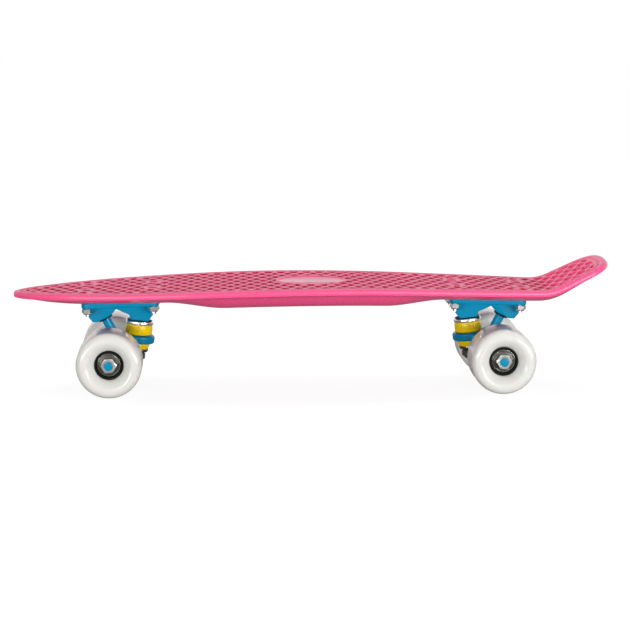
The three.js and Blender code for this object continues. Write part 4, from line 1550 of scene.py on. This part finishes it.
@dataclass
class Truck:
    """One truck at its end of the board."""

    end: End
    shape: TruckShape
    baseplate_mesh: bpy.types.Mesh
    hanger_mesh: bpy.types.Mesh
    hex_flats: float = 12.7
    nut_start: float = 65
    washer_radius: float = 5.75
    washer_thickness: float = 1
    axle_end: float = 73.2
    axle_radius: float = 3.95
    thread_pitch: float = 1.06

    @property
    def place(self) -> Matrix:
        """The truck's frame in the board's, from the joint that it steers on."""
        joint = joint_place(f"{self.end.word}_steer")
        turn = Matrix.Rotation(math.pi if self.end is End.REAR else 0, 4, "Z")
        turn = turn @ Matrix.Rotation(-self.shape.slope, 4, "Y")
        return Matrix.Translation(joint - turn @ self.shape.ring_centre) @ turn

    @property
    def hanger_body(self) -> str:
        """The body that steers."""
        return f"{self.end.word}_hanger_body"

    def piece(self, draft: Draft, name: str, body: str, nodes: Sequence[str], *looks: Look,
              sharp: float = 28) -> bpy.types.Object:
        """Places one turned or pressed piece of the truck and lets it ride."""
        made = draft.moved(self.place).piece(f"{self.end.word}_{name}", *looks, sharp=sharp)
        return ride(made, body, *(f"{self.end.word}_{node}" for node in nodes))

    def castings(self) -> None:
        """Places the baseplate and the hanger."""
        word = self.end.word
        for data, name, body in ((self.baseplate_mesh, "baseplate", "board"),
                                 (self.hanger_mesh, "hanger", self.hanger_body)):
            copy = moved_to(data, f"{word}_{name}_casting", self.place)
            ride(placed(copy, copy.name, [Look.CASTING], 50), body, f"{word}_{name}")

    def pivot_cup(self) -> None:
        """The black cup in the baseplate, with its lip round the stem."""
        s, running_gap, flare, mouth = self.shape, 0.5, 0.95, -1.9
        bore = s.stem_radius + running_gap
        profile = [*((r, z, 0) for r, z in dome(bore, s.tip_depth)),
                   (bore + flare, mouth, 0.2), (s.cup_flange, mouth, 0.4), (s.cup_flange, -SEAT_GAP, 0.3),
                   (s.cup_body, -SEAT_GAP, 0), (s.cup_body, s.cup_length, 0.5), (0, s.cup_length)]
        cup = turned(eased(profile, 0.4), 48).moved(s.on_pivot)
        self.piece(cup, "cup_liner", "board", ["pivot_cup"], Look.BLACK)

    def kingpin(self) -> None:
        """The kingpin, threaded at its end, and its nut."""
        s, stack = self.shape, self.shape.stack
        top = -s.head_flats * math.sin(s.kingpin_lean)
        low = top - s.head_height
        pin = hexagon(s.head_flats, low, top, 0.4, (False, True))
        overlap, pitch = 2, 1.27
        pin.add(rod(s.kingpin_radius, low, -stack.nut + overlap, 40))
        thread = threaded(s.kingpin_radius, 0, stack.end - stack.nut + overlap, pitch)
        pin.add(thread.moved(Matrix.Translation((0, 0, overlap - stack.nut)) @ HALF_TURN))
        self.piece(pin.moved(s.on_kingpin), "kingpin_bolt", "board", ["kingpin"], Look.STEEL)
        bore, flats, high = s.kingpin_radius + 0.1, 14.3, -stack.nut
        nut = hexagon(flats, high - stack.nut_height + 1.6, high, bore, (True, True))
        end, collar_top = high - stack.nut_height, 1.8 - stack.nut - stack.nut_height
        collar = [(bore, end), (6.3, end), (6.5, collar_top), (bore, collar_top)]
        nut.add(turned(eased(collar, 0.4), 40))
        # The lock nut takes the darker plating as painted shade under the hanger.
        self.piece(nut.moved(s.on_kingpin), "kingpin_lock_nut", "board", ["kingpin_nut"], Look.DARK_PLATE)

    def cup_washers(self) -> None:
        """The two cup washers, each with a skirt round its bushing and a black band of painted shade by its
        flat face.
        """
        stack = self.shape.stack
        hole, thick = self.shape.kingpin_radius + SEAT_GAP, stack.washer_thickness
        for top, radius, skirt, flip, name, look in (
                (-stack.upper_washer, 12.9, 2.7, 1, "upper_washer", Look.CHROME),
                # The lower washer takes the darker plating as painted shade under the hanger.
                (-stack.lower_washer - thick, 10.5, 1.8, -1, "lower_washer", Look.DARK_PLATE)):
            wall, painted_shade_depth = thick / 2, 0.75
            profile = [(hole, top), (radius - 2.6, top, 1.4), (radius - 0.5, top - flip * 0.8, 1.2),
                       (radius, top - flip * (thick + 0.5), 1.1),
                       (radius, top - flip * (thick + skirt), 0.3),
                       (radius - wall, top - flip * (thick + skirt), 0.3),
                       (radius - wall, top - flip * thick, 0.5), (hole, top - flip * thick)]
            cup = turned(eased(profile, 0.2), 72)
            # Faces near the flat face take the black look, as painted shade where the washer meets the
            # housing or the nut.
            crown = flip * top - painted_shade_depth
            cup.looks = [int(min(flip * cup.points[i].z for i in face) > crown) for face in cup.faces]
            self.piece(cup.moved(self.shape.on_kingpin), f"cup_{name}", "board", [name], look, Look.BLACK)

    def bushings(self) -> None:
        """The two bushings, between the board and the hanger."""
        s, stack = self.shape, self.shape.stack
        hole = s.kingpin_radius + SEAT_GAP
        top, low = -stack.upper_bushing, -stack.upper_bushing - stack.upper_length
        skirt = -stack.upper_washer - stack.washer_thickness - 2.9
        neck, widest = 11.5, 12.72
        barrel = [(hole, top, 0.3), (neck, top, 0.4), (neck, skirt, 0.2), (12.3, skirt - 0.5, 0.5),
                  (widest, (skirt + low) / 2, 3), (12.55, low + 0.9, 0.6), (12, low, 0.6), (hole, low, 0.3)]
        self.bushing(barrel, "upper_bushing", top, low)
        top, low = -stack.lower_bushing, -stack.lower_bushing - stack.lower_length
        narrow, skirt = 9.4, low + 1.5
        cone = [(hole, top, 0.3), (s.lower_bushing_radius - 0.2, top, 0.8),
                (s.lower_bushing_radius, top - 1.2, 0.8), (narrow + 0.5, skirt + 0.5, 0.8),
                (narrow, skirt, 0.3), (narrow, low, 0.3), (hole, low, 0.3)]
        self.bushing(cone, "lower_bushing", low, top)

    def bushing(self, profile: Profile, node: str, still: float, turning: float) -> None:
        """Makes one bushing.

        Args:
            profile: Its profile along the kingpin.
            node: The node that it stands for.
            still: The height of the end that stays with the board.
            turning: The height of the end that goes with the hanger.
        """
        frame_of = self.place @ self.shape.on_kingpin
        shape = turned(finer(eased(profile, 0.4, 4), 1.0), 72).moved(frame_of)
        made = shape.piece(f"{self.end.word}_{node}_rubber", Look.BUSHING)
        ends = [tuple(frame_of @ Vector((0, 0, height)) * MM) for height in (still, turning)]
        self.hanger_body
        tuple(ends[0])
        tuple(ends[1])
        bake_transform(made)
        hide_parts(f"{self.end.word}_{node}")
        log.info("%s bends between board and %s", made.name, self.hanger_body)

    def axle(self) -> None:
        """The axle with its threaded, painted ends, the speed washers and the nuts."""
        s, r, start = self.shape, self.axle_radius, self.nut_start
        thread_start, painted = start - 6, start + self.washer_thickness + 5.4
        shaft = rod(r, -thread_start, thread_start, 40)
        for side in Side:
            face = Matrix.Rotation(0 if side is Side.RIGHT else math.pi, 4, "X")
            thread = threaded(r, thread_start - 0.5, painted, self.thread_pitch)
            shaft.add(thread.moved(face))
            cap = turned(eased([(0, painted - 0.5), (r, painted - 0.5), (r, self.axle_end - 0.5, 0.3),
                                (r - 0.5, self.axle_end, 0.4), (0, self.axle_end + 0.03)], 0.2), 48)
            shaft.add(cap.moved(face), 1)
            nut = hexagon(self.hex_flats, start + self.washer_thickness, self.axle_end - 1.2, r + 0.15,
                          (False, True))
            nut.add(self.speed_washer(r + 0.3, start, start + self.washer_thickness))
            word = self.side_word(side)
            self.piece(nut.moved(s.at_axle @ face), f"{word}_nut_and_washer", self.hanger_body,
                       [f"{word}_axle_nut"], Look.CHROME)
            inner = self.speed_washer(s.axle_bore, s.beam_half - 0.1, s.beam_half + 0.95)
            self.piece(inner.moved(s.at_axle @ face), f"{word}_inner_speed_washer", self.hanger_body,
                       ["hanger"], Look.CHROME)
        self.piece(shaft.moved(s.at_axle), "axle_rod", self.hanger_body, ["axle"], Look.STEEL,
                   Look.PAINTED_END)

    def speed_washer(self, bore: float, low: float, high: float) -> Draft:
        """A flat washer along the axle."""
        return turned(eased([(bore, low), (self.washer_radius, low), (self.washer_radius, high),
                             (bore, high)], 0.2), 48)

    def side_word(self, side: Side) -> str:
        """The word of the board's side for a side of the truck, since the rear truck is turned round."""
        return side.word if self.end is End.FRONT else Side(-side.value).word

    def build(self) -> None:
        """Makes all pieces of the truck but the mounting bolts and the wheels."""
        self.castings()
        self.pivot_cup()
        self.kingpin()
        self.cup_washers()
        self.bushings()
        self.axle()


def finer(profile: Profile, step: float) -> list[tuple[float, float]]:
    """Splits the long lines of a closed profile."""
    fine = []
    for i, here in enumerate(profile):
        start, end = Vector(here[:2]), Vector(profile[(i + 1) % len(profile)][:2])
        count = max(1, math.ceil((end - start).length / step))
        fine += [tuple(start.lerp(end, k / count)) for k in range(count)]
    return fine


@dataclass
class Fasteners:
    """The eight mounting bolts and their lock nuts, each made once and set out by Geometry Nodes."""

    places: Sequence[Matrix]
    top: float = 10.8
    head_radius: float = 4.5
    head_depth: float = 2.6
    shank_radius: float = 2.35
    nut_top: float = -5.3
    nut_flats: float = 9.4
    nut_height: float = 5.6
    spare: float = 2
    recess: float = 1.5

    def bolt(self) -> Draft:
        """A countersunk bolt with a cross recess."""
        low = self.nut_top - self.nut_height - self.spare
        middle = self.nut_top - self.nut_height
        body = turned([(0, middle + 1), (self.shank_radius, middle + 1),
                       (self.shank_radius, self.top - self.head_depth), (self.head_radius, self.top - 0.35),
                       (self.head_radius - 0.15, self.top - 0.05), (0, self.top)], 32)
        arm, wide = 2.1, 0.55
        cross = [(wide, arm), (-wide, arm), (-wide, wide), (-arm, wide), (-arm, -wide), (-wide, -wide),
                 (-wide, -arm), (wide, -arm), (wide, -wide), (arm, -wide), (arm, wide), (wide, wide)]
        rows = [[Vector((x * share, y * share, height)) for x, y in cross]
                for share, height in ((0.45, self.top - self.recess), (1.05, self.top + 0.5))]
        draft = drafted(modified(body.mesh("bolt", 1), cut("DIFFERENCE", lofted(rows, wrap=False))))
        flip = Matrix.Translation((0, 0, middle + 1.5)) @ HALF_TURN
        thread = threaded(self.shank_radius + 0.05, 0, middle + 1.5 - low, 0.8, 20).moved(flip)
        return draft.add(thread)

    def nut(self) -> Draft:
        """A lock nut with its round collar."""
        low, hole = self.nut_top - self.nut_height, self.shank_radius + 0.1
        draft = hexagon(self.nut_flats, low + 1.5, self.nut_top, hole, (True, True))
        collar = [(hole, low), (3.7, low), (4.1, low + 1.7), (hole, low + 1.7)]
        return draft.add(turned(eased(collar, 0.5), 32))

    def set_out(self, draft: Draft, name: str, nodes: Sequence[str], look: Look) -> None:
        """Sets one fastener out at all its places.

        Args:
            draft: The fastener in its own frame.
            name: The piece's name.
            nodes: The nodes that it stands for.
            look: Its look.
        """
        points = bpy.data.meshes.new(name)
        points.from_pydata([place.to_translation() for place in self.places], [], [])
        turn = points.attributes.new("turn", "FLOAT_VECTOR", "POINT")
        turn.data.foreach_set("vector", [a for place in self.places for a in place.to_euler()])
        tree = GeometryTree(f"{name}_layout")
        size = tree.size("Scale", 1.0)
        fastener = tree.shape("Fastener", helper(draft, f"{name}_shape"))
        graph = tree.graph
        euler = graph.out("GeometryNodeInputNamedAttribute", "Attribute", {"data_type": "FLOAT_VECTOR"},
                          {"Name": "turn"})
        rotation = graph.out("FunctionNodeEulerToRotation", 0, None, {0: euler})
        spots = graph.out("GeometryNodeMeshToPoints", 0, None, {0: tree.host_mesh})
        result = graph.out("GeometryNodeInstanceOnPoints", 0, None, {
            "Points": spots, "Instance": fastener, "Rotation": rotation, "Scale": size})
        ride(placed(tree.run(points, result, look), name, [look], 28), "board", *nodes)

    def build(self) -> None:
        """Makes the bolts and the nuts."""
        words = [f"{end.word}_{i}" for end in End for i in range(1, 5)]
        self.set_out(self.bolt(), "mounting_bolts", [f"{word}_bolt" for word in words], Look.CHROME)
        self.set_out(self.nut(), "mounting_lock_nuts", [f"{word}_lock_nut" for word in words], Look.CHROME)


# Wheels


@dataclass
class Wheel:
    """One wheel: urethane tyre, core and two bearings, turned about its axle."""

    end: End
    side: Side
    radius: float = 29.97
    half_width: float = 21.98
    shoulder: float = 7
    lip_radius: float = 22
    bore: float = 13.5
    core_end: float = 13.4
    core_lip: float = 11.25
    bearing_radius: float = 11
    bearing_width: float = 7
    bearing_middle: float = 8.5

    @property
    def name(self) -> str:
        """The start of the names of its nodes."""
        return f"{self.end.word}_{self.side.word}"

    @property
    def place(self) -> Matrix:
        """The wheel's frame, with Z along the axle and outwards."""
        centre = Matrix.Translation(joint_place(f"{self.name}_spin"))
        return centre @ Matrix.Rotation(-math.pi / 2 * self.side.value, 4, "X")

    def tyre(self) -> Draft:
        """The urethane: tread, round shoulders and dished faces."""
        centre = (self.radius - self.shoulder, self.half_width - self.shoulder)
        arc = [(centre[0] + self.shoulder * math.cos(math.radians(a)),
                centre[1] + self.shoulder * math.sin(math.radians(a))) for a in range(0, 91, 6)]
        depth = self.half_width - self.core_end - 0.5
        dish = [(self.lip_radius + (self.bore - self.lip_radius) * a, self.half_width - depth * d)
                for a, d in ((0, 0.005), (0.2, 0.06), (0.45, 0.235), (0.68, 0.46), (0.88, 0.72), (1, 0.97))]
        curve = [(p.x, p.y) for p in smooth_through([arc[-1], *dish], 4)][1:]
        side = [*arc, *curve, (self.bore, self.core_end - 1)]
        return turned(mirrored(side), 128)

    def core(self) -> Draft:
        """The black core that the tyre is cast on."""
        web, seat = 8.5, self.bearing_middle - self.bearing_width / 2 - 0.3
        side = [(self.bore - 0.05, self.core_end - 0.35, 0), (self.bore - 0.4, self.core_end, 0.3),
                (self.core_lip + 0.35, self.core_end, 0.3), (self.core_lip, self.core_end - 0.6, 0.2),
                (self.core_lip - 0.2, self.bearing_middle, 0), (self.core_lip - 0.2, seat, 0), (web, seat, 0)]
        return turned(eased(mirrored(side), 0.2), 96)

    def bearing(self) -> Draft:
        """One bearing about its middle: outer ring, inner ring and a shield on each side."""
        r, half = self.bearing_radius, self.bearing_width / 2
        outer = mirrored([(r, half - 0.5, 0), (r - 0.5, half, 0.15), (r - 1.35, half, 0.12),
                          (r - 1.5, half - 0.55, 0)])
        inner = mirrored([(4.05, half - 0.4, 0.1), (4.4, half, 0.15), (5.75, half, 0.15),
                          (5.95, half - 0.5, 0)])
        shield = [(r - 1.55, half - 0.35, 0.1), (r - 1.9, half - 0.35, 0.1), (r - 2.15, half - 0.75, 0.2),
                  (r - 2.7, half - 0.75, 0.2), (r - 2.95, half - 0.4, 0.2), (6.45, half - 0.4, 0.15),
                  (6.2, half - 0.75, 0.2), (6.05, half - 0.75, 0), (6.05, half - 1.1, 0),
                  (r - 1.55, half - 1.1, 0)]
        draft = turned(eased(outer, 0.1), 96).add(turned(eased(inner, 0.1), 72))
        draft.add(turned(eased(shield, 0.1), 96), 1)
        return draft.add(turned(eased([(a, -z, e) for a, z, e in shield], 0.1), 96), 1)

    def build(self) -> None:
        """Makes the wheel's pieces and lets them ride."""
        body = f"{self.name}_wheel"
        tyre = self.tyre().moved(self.place).piece(f"{self.name}_urethane", Look.URETHANE, sharp=40)
        ride(tyre, body, f"{self.name}_tyre")
        core = self.core().moved(self.place).piece(f"{self.name}_hub", Look.BLACK)
        ride(core, body, f"{self.name}_core")
        for word, way in (("outer", 1), ("inner", -1)):
            at = self.place @ Matrix.Translation((0, 0, way * self.bearing_middle))
            name = f"{self.name}_{word}_ball_bearing"
            made = self.bearing().moved(at).piece(name, Look.STEEL, Look.SHIELD)
            ride(made, body, f"{self.name}_{word}_bearing")


# Studio


@dataclass(frozen=True)
class Softbox:
    """A rectangular soft light, with its place and size in metres and its power in watts."""

    name: str
    place: tuple[float, float, float]
    width: float
    height: float
    power: float

    def hang(self, target: Vector) -> None:
        """Adds the light, turned to its target."""
        data = bpy.data.lights.new(self.name, "AREA")
        data.shape = "RECTANGLE"
        data.size, data.size_y, data.energy = self.width, self.height, self.power
        light = linked(self.name, data)
        light.location = self.place
        way = target - Vector(self.place)
        light.rotation_euler = way.to_track_quat("-Z", "Y").to_euler()


@dataclass
class Studio:
    """The floor, the lights, the background and the camera."""

    camera_place: Vector = field(default_factory=lambda: Vector((-86.1, -1894.8, 350.2)))
    yaw: float = math.radians(2.716)
    pitch: float = math.radians(8.565)
    roll: float = math.radians(-0.117)
    focal_share: float = 2039.8 / 630
    sensor: float = 36
    floor_drop: float = 0.06
    floor_grey: float = 0.22
    floor_glow: float = 0.9
    room_light: float = 0.12
    mirror_light: float = 0.8
    backdrop_light: float = 0.9
    target: Vector = field(default_factory=lambda: Vector((0, 0, 0.06)))
    lamps: tuple[Softbox, ...] = (
        Softbox("front_left", (-1.5, -2.3, 0.17), 1.9, 0.32, 41),
        Softbox("front_right", (1.6, -2.2, 0.17), 1.9, 0.32, 60),
        Softbox("overhead", (0, 0.7, 2), 2.6, 0.5, 9),
    )

    def camera(self) -> None:
        """Puts the camera where the photograph was taken from."""
        data = bpy.data.cameras.new("camera")
        data.sensor_width = self.sensor
        data.lens = self.focal_share * self.sensor
        data.clip_start, data.clip_end = 0.05, 50
        level = math.cos(self.pitch)
        forward = Vector((math.sin(self.yaw) * level, math.cos(self.yaw) * level, -math.sin(self.pitch)))
        right = Vector((math.cos(self.yaw), -math.sin(self.yaw), 0))
        up = right.cross(forward)
        turned_right = math.cos(self.roll) * right + math.sin(self.roll) * up
        turned_up = math.cos(self.roll) * up - math.sin(self.roll) * right
        axes = Matrix((turned_right, turned_up, -forward)).transposed().to_4x4()
        camera = linked("camera", data)
        camera.matrix_world = Matrix.Translation(self.camera_place * MM) @ axes
        bpy.context.scene.camera = camera

    @staticmethod
    def emptied(owner: bpy.types.Material | bpy.types.World) -> Graph:
        """Gives a material or a world a node tree with nothing in it."""
        owner.use_nodes = True
        owner.node_tree.nodes.clear()
        return Graph(owner.node_tree)

    @staticmethod
    def rays(graph: Graph) -> tuple[Link, Link]:
        """Tells the rays that see the studio itself, and the rays that see it in a gloss."""
        path = graph.node("ShaderNodeLightPath")
        camera, through, glossy = (Link(graph, path.outputs[f"Is {kind} Ray"])
                                   for kind in ("Camera", "Transmission", "Glossy"))
        return graph.maths("MAXIMUM", camera, through), glossy

    def floor(self) -> None:
        """A pale floor that still shows the board's shadow."""
        material = bpy.data.materials.new("pale_floor")
        graph = self.emptied(material)
        seen, glossy = self.rays(graph)
        y = graph.axes(graph.out("ShaderNodeTexCoord", "Object"))[1]
        near, far, near_share = 0.25, 0.8, 0.1
        shine = graph.spread(y, near, far, self.mirror_light * near_share, self.backdrop_light)
        strength = seen * self.floor_glow + glossy * shine
        matt = graph.node("ShaderNodeBsdfDiffuse", None, {"Color": (self.floor_grey,) * 3})
        glow = graph.node("ShaderNodeEmission", None, {"Color": (1, 1, 1), "Strength": strength})
        both = graph.node("ShaderNodeAddShader", None, {0: matt.outputs[0], 1: glow.outputs[0]})
        graph.node("ShaderNodeOutputMaterial", None, {"Surface": both.outputs[0]})
        half_size = 12.0
        z = -self.floor_drop * MM
        data = bpy.data.meshes.new("floor")
        corners = [(x * half_size, y * half_size, z) for x, y in ((-1, -1), (1, -1), (1, 1), (-1, 1))]
        data.from_pydata(corners, [], [(0, 1, 2, 3)])
        data.materials.append(material)
        linked("floor", data)

    def world(self) -> None:
        """A white backdrop behind the board and a dim room in front of it."""
        world = bpy.data.worlds.new("studio")
        graph = self.emptied(world)
        seen, glossy = self.rays(graph)
        behind = graph.axes(graph.out("ShaderNodeTexCoord", "Generated"))[1]
        soft = graph.spread(behind, -0.2, 0.4, self.room_light, self.backdrop_light)
        shine = graph.spread(behind, 0.5, 0.85, self.mirror_light, self.backdrop_light)
        strength = graph.maths("MAXIMUM", seen, glossy * shine + (1 - glossy) * soft)
        light = graph.node("ShaderNodeBackground", None, {"Color": (1, 1, 1), "Strength": strength})
        graph.node("ShaderNodeOutputWorld", None, {"Surface": light.outputs[0]})
        bpy.context.scene.world = world

    def build(self) -> None:
        """Sets the studio up."""
        self.camera()
        self.floor()
        self.world()
        for lamp in self.lamps:
            lamp.hang(self.target)
        bpy.context.scene.view_settings.view_transform = "Standard"


def main() -> None:
    """Builds the studio and the board."""
    logging.basicConfig(level=logging.INFO, format="%(name)s: %(message)s")
    Studio().build()
    shape = TruckShape()
    castings = shape.baseplate(), shape.hanger()
    trucks = [Truck(end, shape, *castings) for end in End]
    for truck in trucks:
        truck.build()
        log.info("%s truck is complete", truck.end.word)
    for end in End:
        for side in Side:
            Wheel(end, side).build()
    bolt_frames = [truck.place @ Matrix.Translation((x, y, 0))
                   for truck in trucks for x, y in shape.bolt_places]
    Fasteners(bolt_frames).build()
    origins = [truck.place.to_translation() for truck in trucks]
    middle, spread = (origins[0].x + origins[1].x) / 2, (origins[1].x - origins[0].x) / 2
    deck = DeckShape(middle, spread, origins[0].z)
    deck.crown += (deck.thickness + SEAT_GAP) / math.cos(deck.slope) + deck.arch_drop(spread)
    Deck(deck, bolt_frames).build()


if __name__ == "__main__":
    main()
